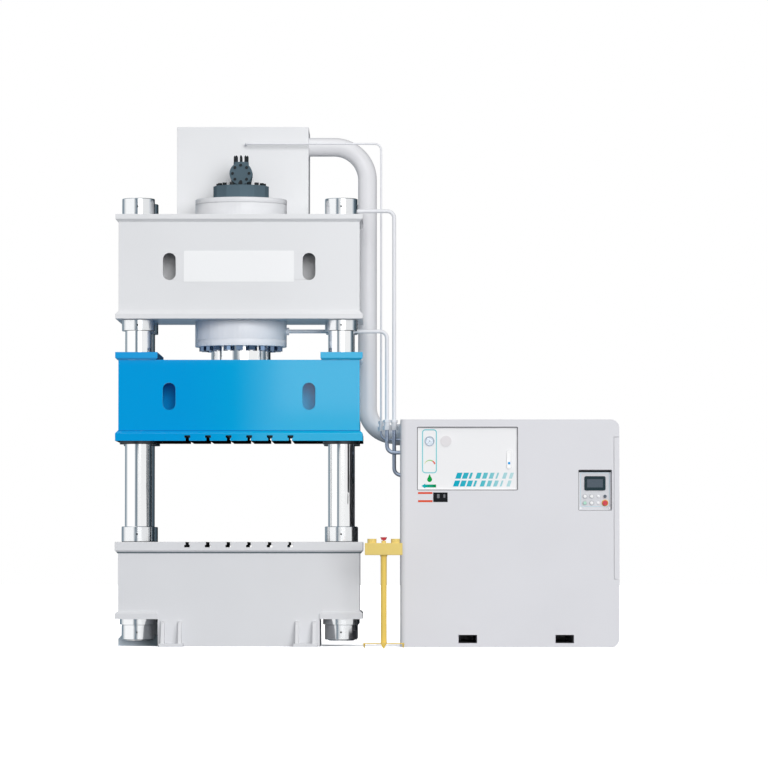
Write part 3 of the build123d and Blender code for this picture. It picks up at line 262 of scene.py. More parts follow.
# %% Paint
def sprayed(name, base, roughness=0.3, coat=0.0, ripple=0.00003, drift=0.012):
    """Paint: clouds of noise 0.8 m wide take the tone from 1 - drift to 1 + drift, smaller ones
    vary the roughness by 0.05, and the orange peel is a bump of noise with 4 mm grains."""
    finish = Finish(name, base, roughness, coat=coat)
    tone = finish.noise(1.3, 2.0)
    darker = tuple(part * (1 - drift) for part in base)
    lighter = tuple(min(part * (1 + drift), 1) for part in base)
    finish.set("Base Color", finish.mix(tone.rise(0.3, 0.7), darker, lighter))
    cloud = finish.noise(9.0, 4.0)
    finish.set("Roughness", roughness + (cloud - 0.5) * 0.05)
    finish.emboss(finish.noise(260.0, 2.0), ripple)
    return finish


grey_paint = sprayed("grey_paint", GREY)
bed_paint = sprayed("bed_paint", GREY_BED)
gloss_grey = sprayed("gloss_grey", colour(235, 237, 242), coat=0.35)
ring_paint = sprayed("ring_paint", colour(223, 224, 227), coat=0.35)
bolt_grey = sprayed("bolt_grey", colour(102, 124, 152), roughness=0.15)
bolt_grey.set("Metallic", 0.9)
cabinet_paint = sprayed("cabinet_paint", CABINET_GREY, roughness=0.38, ripple=0.00005)
print("five paints and one plating ready")

# %% [markdown]
# The slide is sprayed in a glossier blue. A clear coat lies over the colour, so a lamp is
# mirrored sharply in it while the blue below stays matt, and the blue turns lighter to the right
# as painted light. The slide's lower face and the table's upper one are bare, oiled steel, where
# tools are bolted, and so are the T-slots cut into them; their near-black colour is partly that
# steel and partly painted shade. A formula of the place tells bare from painted, because each
# plate is one solid.

# %% Blue paint and the bare faces of the slide and the bed
SLOT_PITCH = 0.18
SLOT_HALF_WIDTH = 0.0255
SLOT_DEPTH = 0.0485
SLOTS_END = (2.78 * SLOT_PITCH, 2.8 * SLOT_PITCH)
SLIDE_PAINTED_LIGHT = (-0.6, 0.6)


def sprayed_with_bare_face(name, base, bare_z, above, coat=0.0, painted_light_to=None, **paint):
    """Paint, but near-black oiled steel with painted shade on the machined face at bare_z and its
    T-slots.
    A point lies in a slot where pitch * |fraction(x / pitch) - 1/2| is below the half width."""
    finish = sprayed(name, base, coat=coat, **paint)
    edge = 0.0006
    inward = bare_z - finish.z if above else finish.z - bare_z
    face = inward.fall(0.0, edge)
    pitches = finish.x / SLOT_PITCH
    off_centre = abs(pitches.maths("FRACT", pitches) - 0.5) * SLOT_PITCH
    slot = off_centre.fall(SLOT_HALF_WIDTH - edge, SLOT_HALF_WIDTH)
    slot = slot * inward.fall(SLOT_DEPTH - edge, SLOT_DEPTH)
    slot = slot * abs(finish.y).fall(PLATE_HALF_DEPTH - 2 * edge, PLATE_HALF_DEPTH - edge)
    slot = slot * abs(finish.x).fall(*SLOTS_END)
    bare = face.most(slot)
    # Painted light: the colour turns lighter along X into a second, lighter colour.
    if painted_light_to:
        blend_along_x(finish, *SLIDE_PAINTED_LIGHT, painted_light_to)
    grain = finish.noise(40.0, 4.0, (1, 0.04, 1))
    # Near-black steel: oiled steel, with painted shade on the tool face and on the slot walls.
    steel_and_shade = finish.mix(grain, colour(16, 17, 19), colour(30, 31, 33))
    finish.set("Base Color", finish.mix(bare, finish.fed("Base Color"), steel_and_shade))
    finish.set("Roughness", finish.fed("Roughness") + bare * 0.15)
    if coat:
        finish.set("Coat Weight", coat - bare * coat)
    return finish


def blend_along_x(finish, start_x, end_x, second):
    """Blends the base colour into a second one between two places along X."""
    share = finish.x.rise(start_x, end_x)
    finish.set("Base Color", finish.mix(share, finish.fed("Base Color"), second))


# Painted light: the frame's grey turns a little lighter from X = 0 to X = 1 m, on the lamp's side.
blend_along_x(grey_paint, 0.0, 1.0, colour(232, 233, 235))
PLATEN_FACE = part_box("slide_platen")[0].z
TABLE_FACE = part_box("bed_table")[1].z
blue_paint = sprayed("blue_paint", BLUE, roughness=0.5, coat=1.0)
# Painted light: the slide's blue turns lighter towards its right half.
blend_along_x(blue_paint, *SLIDE_PAINTED_LIGHT, BLUE_PAINTED_LIGHT)
platen_finish = sprayed_with_bare_face("platen_finish", BLUE, PLATEN_FACE, above=False, coat=1.0,
                                       painted_light_to=BLUE_PAINTED_LIGHT, roughness=0.5)
for finish in (blue_paint, platen_finish):
    finish.set("Coat Roughness", 0.035)
    finish.set("Specular IOR Level", 0.0)
table_finish = sprayed_with_bare_face("table_finish", GREY_BED, TABLE_FACE, above=True)
print("tool faces at", round(TABLE_FACE, 3), "and", round(PLATEN_FACE, 3))

# %% [markdown]
# ## Ground and turned metal
#
# A column is ground on centres and then plated with hard chrome. The wheel leaves rings round
# it, far finer than a millimetre, which stretch each reflection along the bar. Noise that is
# drawn out round the bar and squeezed along it gives those rings. A nut is only turned, so its
# rings are coarser and it is duller. The spanner holes in its rim are shaded by a formula of the
# place, because hardly any light reaches their walls.

# %% Chrome and turned steel
def ringed(name, base, roughness, rings, depth):
    """Metal with rings round the Z axis: noise that varies rings times faster along Z."""
    finish = Finish(name, base, roughness, metallic=1.0)
    ring = finish.noise(rings, 2.0, (0.01, 0.01, 1))
    smear = finish.noise(3.0, 3.0, (1, 1, 0.3))
    spread = 0.05
    finish.set("Roughness", roughness + (ring - 0.5) * spread + (smear - 0.5) * spread)
    finish.emboss(ring, depth)
    return finish


COLUMN_X = 0.892
COLUMN_Y = 0.32
NUT_RADIUS = 0.1435
HOLE_DEPTH = 0.022
HOLE_RADIUS = 0.009


def with_spanner_holes(finish, middles):
    """Darkens the holes in a nut's rim: a point is in one where its distance r from the nearest
    column's axis is a little under the nut's radius, at the height of the nut's middle."""
    across = abs(finish.x) - COLUMN_X
    along = abs(finish.y) - COLUMN_Y
    away = (across * across + along * along).root()
    inside = away.fall(NUT_RADIUS - 0.001, NUT_RADIUS - 0.0005) * away.rise(
        NUT_RADIUS - HOLE_DEPTH - 0.002, NUT_RADIUS - HOLE_DEPTH - 0.001)
    level = 0.0
    for middle_z in middles:
        level = level + abs(finish.z - middle_z).fall(HOLE_RADIUS, HOLE_RADIUS + 0.001)
    base = tuple(finish.shader.inputs["Base Color"].default_value)[:3]
    finish.set("Base Color", finish.mix(inside * level, base, colour(24, 25, 27)))
    return finish


NUT_OVER_CROWN = 0.074
NUT_UNDER_CROWN = 0.050
NUT_ON_BED = 0.0675
LOWEST_NUT = 0.066
crown_under, crown_over = (corner.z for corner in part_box("crown"))
NUT_MIDDLES = (crown_over + NUT_OVER_CROWN, crown_under - NUT_UNDER_CROWN,
               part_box("bed_table")[1].z + NUT_ON_BED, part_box("column_nuts")[0].z + LOWEST_NUT)
TURNED_METAL = (colour(226, 228, 230), 0.15, 420.0, 0.0000008)
chrome = ringed("column_chrome", colour(238, 239, 240), 0.07, 900.0, 0.0000003)
ram_chrome = ringed("ram_chrome", colour(238, 239, 240), 0.06, 700.0, 0.0000003)
turned_steel = ringed("turned_steel", *TURNED_METAL)
nut_steel = with_spanner_holes(ringed("nut_steel", *TURNED_METAL), NUT_MIDDLES)
# Dark steel: the valve manifold's own finish; on the bush retainers under the slide it is also
# painted shade.
dark_steel = ringed("dark_steel", colour(58, 62, 66), 0.34, 300.0, 0.00002)
bronze = ringed("bearing_bronze", colour(196, 148, 84), 0.3, 300.0, 0.00002)
print("six metals ready")

# %% [markdown]
# The pipes are drawn steel tube. Above the unions they are painted nearly white; below them
# the plated tube is left bare and mirrors the cabinet and the floor, so it looks blue-grey.

# %% Pipe paint that ends at the unions
UNION_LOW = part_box("pipe_unions")[0].z
UNION_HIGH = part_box("pipe_unions")[1].z


def pipe_finish(name, painted):
    """Paint above the unions and bare plated tube below them."""
    finish = sprayed(name, painted, roughness=0.28)
    bare = finish.z.fall(UNION_LOW, UNION_LOW + 0.001)
    finish.set("Base Color", finish.mix(bare, finish.fed("Base Color"), colour(164, 177, 198)))
    finish.set("Metallic", bare * 0.6)
    return finish


line_paint = pipe_finish("line_paint", colour(232, 233, 237))
suction_paint = sprayed("suction_paint", colour(231, 231, 234), roughness=0.26)
print("unions from", round(UNION_LOW, 3), "to", round(UNION_HIGH, 3))

# %% [markdown]
# ## Castings, rubber and plastics
#
# The prefill valve is a casting in slate paint: its sand skin is coarser than a plate's. The
# small parts on the panels are moulded. Clear gloss needs almost no roughness, and a matt
# moulding gets a fine spark-eroded grain.

# %% Castings and mouldings
def cast_skin(name, base, roughness, grain=0.00015):
    """Painted sand casting: two sizes of noise, 3 mm and 12 mm, bumped together."""
    finish = sprayed(name, base, roughness, drift=0.12)
    finish.emboss(finish.noise(90.0, 4.0) * 0.6 + finish.noise(320.0, 2.0) * 0.4, grain)
    return finish


def moulded(name, base, roughness, coat=0.0, grain=0.00001):
    """Plastic or rubber: one colour with a faint drift and a fine grain."""
    return sprayed(name, base, roughness, coat, ripple=grain, drift=0.006)


slate_cast = cast_skin("slate_cast", SLATE, 0.3, 0.00004)
slate_cast.set("Specular IOR Level", 0.0)
motor_cast = cast_skin("motor_cast", colour(96, 108, 116), 0.5)
pump_cast = cast_skin("pump_cast", colour(70, 74, 78), 0.5)
rubber = moulded("seal_rubber", colour(30, 30, 31), 0.75, grain=0.00004)
panel_white = sprayed("panel_white", colour(245, 245, 246), 0.34, drift=0.008)
cover_grey = sprayed("cover_grey", colour(231, 228, 230), 0.34, drift=0.008)
level_clear = moulded("level_clear", colour(255, 255, 255), 0.1, coat=1.0)
key_white = moulded("key_white", colour(250, 250, 250), 0.16, coat=0.6)
key_green = moulded("key_green", colour(178, 228, 206), 0.16, coat=0.6)
stop_red = moulded("stop_red", colour(206, 44, 62), 0.24, coat=0.5)
knob_grey = moulded("knob_grey", colour(96, 106, 118), 0.36)
chrome_bezel = ringed("chrome_bezel", colour(160, 172, 186), 0.3, 300.0, 0.00001)
print("castings and mouldings ready")

# %% [markdown]
# The pedestal's box is a paler yellow than its pole. The rings round the keys and round the stop
# button are printed on the control face, and only the distance from each middle tells a ring from
# the plate. The foot under the bed carries painted shade: pale at its left end, darker under the
# bed.

# %% Yellow paints, lamps and screen
pole_paint = sprayed("pole_paint", YELLOW, roughness=0.35, drift=0.04)
pedestal_paint = sprayed("pedestal_paint", PALE_YELLOW, roughness=0.45, drift=0.03)
palm_yellow = moulded("palm_yellow", colour(240, 212, 124), 0.28, coat=0.3)
needle_grey = moulded("needle_grey", colour(158, 166, 180), 0.4)
dark_paint = sprayed("dark_paint", colour(92, 98, 104), roughness=0.4)
foot_painted_shade = sprayed("foot_painted_shade", colour(216, 229, 239), roughness=0.4)
# Painted shade: the foot's colour darkens from its left end towards the part under the bed.
blend_along_x(foot_painted_shade, -0.96, -0.76, colour(112, 128, 137))
bolt_black = sprayed("bolt_black", colour(20, 27, 31), roughness=0.25)
bolt_black.set("Specular IOR Level", 0.25)
lamp_lens = moulded("lamp_lens", colour(250, 251, 252), 0.08, coat=1.0)
FINE_GRAIN = 0.00001
RING_EDGE = 0.0004
KEY_RING = 0.0215
STOP_RING = 0.029


def zoned(name, base, marks, roughness):
    """A moulding with round zones: each mark is (x, z, radius, colour) on the front face."""
    finish = sprayed(name, base, roughness, ripple=FINE_GRAIN, drift=0.01)
    tone = finish.fed("Base Color")
    for x, z, radius, shade in marks:
        across = finish.x - x
        up = finish.z - z
        away = (across * across + up * up).root()
        tone = finish.mix(away.fall(radius - RING_EDGE, radius + RING_EDGE), tone, shade)
    finish.set("Base Color", tone)
    return finish


def middle(node):
    """The middle of a CAD node's box."""
    low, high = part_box(node)
    return (low + high) / 2


STOP = middle("control_estop")
KEYS = [middle("push_button_%d" % number) for number in (1, 2, 3, 4)]
key_rings = [(key.x, key.z, KEY_RING, colour(196, 198, 202)) for key in KEYS]
stop_ring = [(STOP.x, STOP.z, STOP_RING, colour(240, 188, 72))]
control_face = zoned("control_face", colour(216, 217, 221), key_rings + stop_ring, 0.35)
screen_frame = sprayed("screen_frame", colour(38, 56, 62), ripple=FINE_GRAIN, drift=0.01)
screen_frame.set("Specular IOR Level", 0.1)
print("stop button at", [round(part, 3) for part in STOP])

# %% [markdown]
# ## Who wears what
#
# Each solid from the CAD model keeps its own mesh. Only its material changes here.

# %% Materials onto the CAD solids
WEARS = {
    bed_paint: ["bed_frame"],
    table_finish: ["bed_table"],
    grey_paint: ["crown", "prefill_tank", "tank_bracket"],
    gloss_grey: ["main_cylinder", "cylinder_gland"],
    ring_paint: ["cylinder_nut"],
    bolt_grey: ["gland_bolts"],
    blue_paint: ["slide_frame"],
    platen_finish: ["slide_platen"],
    dark_paint: ["oil_reservoir"],
    foot_painted_shade: ["side_foot"],
    chrome: ["column_left_front", "column_left_rear", "column_right_front", "column_right_rear"],
    ram_chrome: ["piston_rod"],
    nut_steel: ["column_nuts"],
    turned_steel: ["bed_washers", "drive_coupling"],
    dark_steel: ["bush_retainers", "valve_manifold"],
    bronze: ["guide_bushes"],
    slate_cast: ["prefill_valve"],
    bolt_black: ["prefill_bolts"],
    motor_cast: ["pump_motor"],
    pump_cast: ["oil_pump"],
    rubber: ["ram_packing"],
    line_paint: ["pilot_pipe", "lift_pipe", "press_pipe"],
    suction_paint: ["suction_pipe", "pipe_unions"],
    cabinet_paint: ["cabinet_base", "cabinet_front", "cabinet_right_side", "cabinet_cover",
                    "cabinet_back", "side_door"],
    panel_white: ["display_panel"],
    level_clear: ["level_gauge"],
    cover_grey: ["round_cover"],
    chrome_bezel: ["pressure_gauge"],
    needle_grey: ["gauge_needle"],
    control_face: ["control_box"],
    screen_frame: ["control_screen"],
    lamp_lens: ["indicator_lamps"],
    key_white: ["push_button_1", "push_button_3", "push_button_4"],
    key_green: ["push_button_2"],
    knob_grey: ["selector_switch"],
    stop_red: ["control_estop", "pedestal_estop"],
    pole_paint: ["pedestal_stand"],
    pedestal_paint: ["pedestal_box", "palm_guards"],
    palm_yellow: ["palm_button_left", "palm_button_right"],
}


def wear(node, finish):
    """Gives every material slot of a CAD solid this finish."""
    for slot in NODES[node].material_slots:
        slot.material = finish.material


dressed = set()
for finish, names in WEARS.items():
    for name in names:
        wear(name, finish)
        dressed.add(name)
print(len(dressed), "solids dressed, left over:", sorted(set(NODES) - dressed))

# %% [markdown]
# ## Edges that catch the light
#
# No plate has a perfectly sharp edge: it is deburred before it is painted, and the thin bright
# line along it is what makes metal look like metal. The CAD mesh is left as it is. Blender
# first welds its loose triangles and then rounds each edge sharper than 30 degrees.

# %% Rounded edges
SOFT_EDGES = {
    0.003: ["bed_frame", "bed_table", "crown", "slide_frame", "slide_platen", "prefill_tank"],
    0.0025: ["cylinder_gland", "main_cylinder", "cylinder_nut", "prefill_valve", "cabinet_cover"],
}


def soften(node, width):
    """Welds a CAD solid's triangles, then rounds its edges by width."""
    weld = NODES[node].modifiers.new("weld", "WELD")
    weld.merge_threshold = 0.00002
    bevel = NODES[node].modifiers.new("round", "BEVEL")
    bevel.width = width
    bevel.segments = 2
    bevel.limit_method = "ANGLE"
    bevel.angle_limit = np.radians(30)
    bevel.harden_normals = True


for width, names in SOFT_EDGES.items():
    for name in names:
        soften(name, width)
print(sum(len(names) for names in SOFT_EDGES.values()), "solids with rounded edges")

# %% [markdown]
# ## Shapes that the drawing leaves out
#
# What remains is thin: weld beads, plates, printed lines and glass. Each is a surface made from
# two parameters, such as the way along a line and the way round its section. The first function
# turns such a grid of points into a closed mesh, and the others lay out plates, lines and turned
# parts for it.

# %% From a grid of points to a mesh
def grid_mesh(name, points, finish, body, round_trip=False, smooth=True):
    """A piece from points[i, j, 3]: i runs along it, j runs round it, and the ends are closed
    by a face each, or joined to each other on a round trip."""
    along, around = points.shape[:2]
    index = np.arange(along * around).reshape(along, around)
    if round_trip:
        start, stop = index, np.roll(index, -1, axis=0)
    else:
        start, stop = index[:-1], index[1:]
    quads = np.stack([start, np.roll(start, -1, axis=1), np.roll(stop, -1, axis=1), stop], axis=-1)
    faces = quads.reshape(-1, 4).tolist()
    if not round_trip:
        faces += [index[0, ::-1].tolist(), index[-1].tolist()]
    mesh = bpy.data.meshes.new(name)
    mesh.from_pydata(points.reshape(-1, 3).tolist(), [], faces)
    solid = bmesh.new()
    solid.from_mesh(mesh)
    bmesh.ops.recalc_face_normals(solid, faces=solid.faces)
    solid.to_mesh(mesh)
    solid.free()
    mesh.polygons.foreach_set("use_smooth", [smooth] * len(mesh.polygons))
    mesh.materials.append(finish.material)
    piece = bpy.data.objects.new(name, mesh)
    bpy.context.scene.collection.objects.link(piece)
    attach(piece, body)
    return piece


def lifted(outline, y_front, y_back, shrink=0.0):
    """Points [2 rings, n, 3] of a plate whose front-view outline [n, 2] is x and z."""
    centre = outline.mean(axis=0)
    rings = []
    for y, grow in ((y_back, 1.0), (y_front, 1.0 - shrink)):
        flat = centre + (outline - centre) * grow
        rings.append(np.column_stack([flat[:, 0], np.full(len(flat), y), flat[:, 1]]))
    return np.array(rings)


def rounded_box(x0, x1, z0, z1, radius, steps=6):
    """A rectangle's outline with quarter-circle corners: centre + r (cos t, sin t)."""
    turns = np.linspace(0, np.pi / 2, steps)
    outline = []
    corners = ((x1, z1, 0), (x0, z1, 1), (x0, z0, 2), (x1, z0, 3))
    for x, z, quarter in corners:
        t = turns + quarter * np.pi / 2
        middle_x = x - radius * np.sign(x - (x0 + x1) / 2)
        middle_z = z - radius * np.sign(z - (z0 + z1) / 2)
        outline.append(np.column_stack([middle_x + radius * np.cos(t),
                                        middle_z + radius * np.sin(t)]))
    return np.concatenate(outline)


def band(outline, width, y_front, y_back):
    """Points [n, 4, 3] of a flat closed line of this width that follows an outline [n, 2]."""
    along = np.roll(outline, -1, axis=0) - np.roll(outline, 1, axis=0)
    along /= np.linalg.norm(along, axis=1, keepdims=True)
    normal = np.column_stack([along[:, 1], -along[:, 0]])
    outer = outline + normal * width / 2
    inner = outline - normal * width / 2
    sides = [(outer, y_back), (outer, y_front), (inner, y_front), (inner, y_back)]
    return np.stack([np.column_stack([flat[:, 0], np.full(len(flat), y), flat[:, 1]])
                     for flat, y in sides], axis=1)


def disc(x, z, radius, steps=40):
    """A circle's outline: x + r cos t and z + r sin t."""
    t = np.linspace(0, 2 * np.pi, steps, endpoint=False)
    return np.column_stack([x + radius * np.cos(t), z + radius * np.sin(t)])


def turned_part(x, z, rings, steps=48):
    """Points [rings, steps, 3] of a part turned about an axis along Y; a ring is (radius, y)."""
    circles = [(disc(x, z, radius, steps), y) for radius, y in rings]
    return np.array([np.column_stack([flat[:, 0], np.full(steps, y), flat[:, 1]])
                     for flat, y in circles])


def flat_piece(name, outline, y_front, y_back, finish, shrink=0.0):
    """A thin plate that fills an outline."""
    return grid_mesh(name, lifted(outline, y_front, y_back, shrink), finish, "press_frame",
                     smooth=False)


def line_piece(name, outline, width, y_front, y_back, finish):
    """A thin line of this width that follows an outline."""
    return grid_mesh(name, band(outline, width, y_front, y_back), finish, "press_frame",
                     round_trip=True, smooth=False)


print("shapes ready")

# %% [markdown]
# ## Weld beads
#
# Each beam is a box welded between two thick plates, and the weld is a fillet in the corner
# between them. A welder lays it in short overlapping steps, so the bead swells a little every
# few millimetres: r(s) = r0 (1 + a |sin(pi s / step)|). It is painted over with the beam. The
# beads on the slide's lower plate and under the table are painted darker, as painted shade for
# the shadow in those corners.

# %% Weld beads round the beams
BEAD = 0.006
STEP = 0.009
SWELL = 0.16
SUNK = 0.001
WEB_X = 1.055
WEB_Y = 0.523


def weld_loop(name, z, side, finish, body, bead=BEAD):
    """A fillet bead round a box; side is 1 where the plate lies below and -1 where above."""
    corners = np.array([(-WEB_X, -WEB_Y), (WEB_X, -WEB_Y), (WEB_X, WEB_Y), (-WEB_X, WEB_Y)])
    points = []
    for start, stop in zip(corners, np.roll(corners, -1, axis=0)):
        count = int(np.linalg.norm(stop - start) / STEP * 3)
        share = np.arange(count)[:, None] / count
        points.append(start + (stop - start) * share)
    path = np.concatenate(points)
    outward = path / np.array([WEB_X, WEB_Y])
    outward = np.where(np.abs(outward) > 0.9999, np.sign(outward), 0)
    travel = np.arange(len(path)) * STEP / 3
    radius = bead * (1 + SWELL * np.abs(np.sin(np.pi * travel / STEP)))
    turns = np.radians((0, 22.5, 45, 67.5, 90))
    rings = []
    for turn in turns:
        reach = (radius * np.cos(turn))[:, None]
        flat = path + outward * reach
        rings.append(np.column_stack([flat, z + side * radius * np.sin(turn)]))
    inside = path - outward * 2 * SUNK
    outside = path + outward * radius[:, None]
    sunk_z = np.full(len(path), z - side * SUNK)
    rings.append(np.column_stack([inside, z + side * radius]))
    rings.append(np.column_stack([inside, sunk_z]))
    rings.append(np.column_stack([outside, sunk_z]))
    return grid_mesh(name, np.stack(rings, axis=1), finish, body, round_trip=True)


PLATE = 0.061
crown_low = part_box("crown")[0].z + PLATE
crown_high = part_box("crown")[1].z - PLATE
platen_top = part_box("slide_platen")[1].z
table_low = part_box("bed_table")[0].z
# Painted shade: two darker paints for the beads in the shaded lower corners of the slide and the
# table.
blue_painted_shade = sprayed("blue_painted_shade", colour(0, 116, 186), roughness=0.5)
grey_painted_shade = sprayed("grey_painted_shade", colour(112, 124, 131), roughness=0.5)
for finish in (blue_painted_shade, grey_painted_shade):
    finish.set("Specular IOR Level", 0.1)
beads = [
    weld_loop("crown_weld_low", crown_low, 1, grey_paint, "press_frame"),
    weld_loop("crown_weld_high", crown_high, -1, grey_paint, "press_frame"),
    weld_loop("slide_weld_low", platen_top, 1, blue_painted_shade, "slide"),
    weld_loop("bed_weld_high", table_low, -1, grey_painted_shade, "press_frame", bead=0.011),
]
print(len(beads), "weld loops of", len(beads[0].data.vertices), "points")

# %% [markdown]
# ## The plate on the crown
#
# A large white plate, two millimetres thick, is bonded to the front of the crown.

# %% Crown plate
PLATE_THICKNESS = 0.002
plate_finish = sprayed("plate_finish", colour(244, 245, 246), 0.3, coat=0.3, drift=0.004)
plate_outline = rounded_box(-0.484, 0.48, 3.190, 3.461, 0.006)
crown_plate = flat_piece("crown_plate", plate_outline, -WEB_Y - PLATE_THICKNESS, -WEB_Y,
                         plate_finish, shrink=0.001)
print("crown plate", [round(side, 3) for side in crown_plate.dimensions])

# %% [markdown]
# ## Prints on the display panel
#
# The prints are vinyl, a tenth of a millimetre thick in reality and 0.6 millimetres here.
# An outline rings the gauge and the arc scale, a drop stands for oil and an arrow shows the way
# it flows. A few slanted bars fade out to the right as plain decoration.

# %% Vinyl finishes
def vinyl(name, base, roughness=0.3):
    """Printed film: one colour, next to no gloss and hardly any grain."""
    film_finish = moulded(name, base, roughness, grain=0.000004)
    film_finish.set("Specular IOR Level", 0.1)
    return film_finish


def faded(name, ramp, low, high):
    """Vinyl whose colour runs along X through the stops of a ramp."""
    finish = vinyl(name, ramp[0][1])
    share = (finish.x - low) / (high - low)
    finish.set("Base Color", share.node("ValToRGB", {"stops": ramp}, {0: share}))
    return finish


PANEL_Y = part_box("round_cover")[1].y
FILM = 0.0006
film_front = PANEL_Y - FILM
cyan_line = vinyl("cyan_line", colour(120, 208, 216))
bars_finish = faded("bars_finish", [(0.0, colour(0, 170, 196)), (0.45, colour(74, 190, 204)),
                                    (1.0, colour(196, 228, 230))], 1.87, 2.40)
arrow_finish = faded("arrow_finish", [(0.0, colour(0, 178, 196)), (0.45, colour(0, 160, 130)),
                                      (1.0, colour(10, 132, 58))], 1.597, 1.725)
arc_finish = faded("arc_finish", [(0.0, colour(236, 228, 150)), (0.35, colour(150, 206, 120)),
                                  (0.7, colour(150, 206, 120)), (0.78, colour(238, 120, 90)),
                                  (1.0, colour(220, 50, 44))], 1.615, 1.715)
drop_finish = vinyl("drop_finish", colour(0, 156, 66))
print("panel face at", round(PANEL_Y, 4))

# %% Outline, bars and arrow
def film(name, outline, finish):
    """A flat print on the display panel."""
    return flat_piece(name, outline, film_front, PANEL_Y, finish)


gauge_frame = rounded_box(1.603, 1.723, 1.513, 1.886, 0.024)
line_piece("gauge_outline", gauge_frame, 0.009, film_front, PANEL_Y, cyan_line)


def slanted_bar(x, z, width, height, lean=0.35):
    """A parallelogram whose top is shifted to the right by lean times its height."""
    base = np.array([(0, 0), (width, 0), (width + lean * height, height), (lean * height, height)])
    return base + (x, z)


BAR_ROWS = (1.394, 1.462)
BARS_IN_ROW = 9
BAR_START = 1.866
BAR_PITCH = 0.058
BAR_WIDTH = 0.046
BAR_NARROWER = 0.0022
BAR_HEIGHT = 0.052
ROW_SHIFT = 0.02
bars = 0
for row, z in enumerate(BAR_ROWS):
    for column in range(BARS_IN_ROW):
        x = BAR_START + BAR_PITCH * column + ROW_SHIFT * row
        width = BAR_WIDTH - BAR_NARROWER * column
        if (column + row) % 4 == 3:
            width *= 0.5
        film("bar_%d_%d" % (row, column), slanted_bar(x, z, width, BAR_HEIGHT), bars_finish)
        bars += 1
arrow = np.array([(1.720, 1.386), (1.720, 1.411), (1.626, 1.411), (1.626, 1.419), (1.592, 1.3985),
                  (1.626, 1.378), (1.626, 1.386)])
film("flow_arrow", arrow, arrow_finish)
print(bars, "bars and an arrow")

# %% [markdown]
# A drop is a circle that is drawn out to a point: its outline runs round 240 degrees of the
# circle, from 30 degrees above the middle on one side to the same place on the other, and two
# straight lines close it in the tip. The arc beside it grows wider from left to right.

# %% Drop and arc
DROP_X, DROP_Z, DROP_R = 1.664, 1.454, 0.021
DROP_TIP = 1.502
turn = np.radians(np.linspace(-210, 30, 25))
drop = np.column_stack([DROP_X + DROP_R * np.cos(turn), DROP_Z + DROP_R * np.sin(turn)])
drop = np.concatenate([drop, [(DROP_X, DROP_TIP)]])
film("oil_drop", drop, drop_finish)

ARC_X, ARC_Z, ARC_R = 1.665, 1.574, 0.047
ARC_STEPS = 36
arc = np.radians(np.linspace(158, 18, ARC_STEPS))
width = np.linspace(0.002, 0.0065, ARC_STEPS)
rims = [(ARC_R + width, PANEL_Y), (ARC_R + width, film_front), (ARC_R - width, film_front),
        (ARC_R - width, PANEL_Y)]
arc_points = np.stack([np.column_stack([ARC_X + radius * np.cos(arc), np.full(ARC_STEPS, y),
                                        ARC_Z + radius * np.sin(arc)])
                       for radius, y in rims], axis=1)
grid_mesh("arc_scale", arc_points, arc_finish, "press_frame", smooth=False)
print("drop and arc ready")

# %% [markdown]
# ## The pressure gauge
#
# The dial is printed: a pale blue disc with ticks. The glass over it is a thin dome, clear and
# nearly colourless. Its two skins are one flat curve turned about the gauge's axis, the outer a
# millimetre in front of the inner, and their rims are joined.

# %% Gauge dial and glass
GAUGE = middle("pressure_gauge")
DIAL_RADIUS = 0.033
TICK_OUTER = 0.031
TICK_HALF_WIDTH = 0.0005
LONG_TICK = 0.006
SHORT_TICK = 0.0035
dial_y = PANEL_Y - 0.0005
dial_front = dial_y - 0.0003
tick_front = dial_y - 0.00045
dial_finish = vinyl("dial_finish", colour(228, 234, 238))
flat_piece("gauge_dial", disc(GAUGE.x, GAUGE.z, DIAL_RADIUS), dial_front, dial_y, dial_finish)
tick_finish = vinyl("tick_finish", colour(150, 164, 186))
for number, angle in enumerate(np.radians(np.linspace(-135, 135, 19))):
    outward = np.array([np.sin(angle), np.cos(angle)])
    across = np.array([np.cos(angle), -np.sin(angle)])
    length = LONG_TICK if number % 3 == 0 else SHORT_TICK
    centre = np.array([GAUGE.x, GAUGE.z])
    ends = [centre + outward * (TICK_OUTER - length), centre + outward * TICK_OUTER]
    half = across * TICK_HALF_WIDTH
    tick = np.array([ends[0] - half, ends[0] + half, ends[1] + half, ends[1] - half])
    flat_piece("tick_%02d" % number, tick, tick_front, dial_front, tick_finish)

glass = Finish("gauge_glass", colour(250, 252, 255), 0.03)
glass.set("Transmission Weight", 1.0)
glass.set("IOR", 1.08)
WINDOW_RADIUS = 0.0335
DOME_HEIGHT = 0.0035
DOME_REACH = 0.034
GLASS_THICKNESS = 0.001
radii = WINDOW_RADIUS * np.sin(np.linspace(0.02, 1, 10) * np.pi / 2)
rise = DOME_HEIGHT * np.sqrt(1 - (radii / DOME_REACH) ** 2)
glass_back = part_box("pressure_gauge")[0].y + 0.003


def dome(depth):
    """Rings (r, y) of a shallow dome: y = back - height * sqrt(1 - (r / reach)^2) - depth."""
    return [(radius, glass_back - height - depth) for radius, height in zip(radii, rise)]


shell = turned_part(GAUGE.x, GAUGE.z, dome(GLASS_THICKNESS) + dome(0.0)[::-1])
grid_mesh("gauge_window", shell, glass, "press_frame")
print("dial, 19 ticks and glass")

# %% [markdown]
# ## The level gauge
#
# The level gauge is a clear tube that stands a little proud of the panel. A blue float shows the
# oil's height, and a thin grey line round the tube is painted shade at its edge.

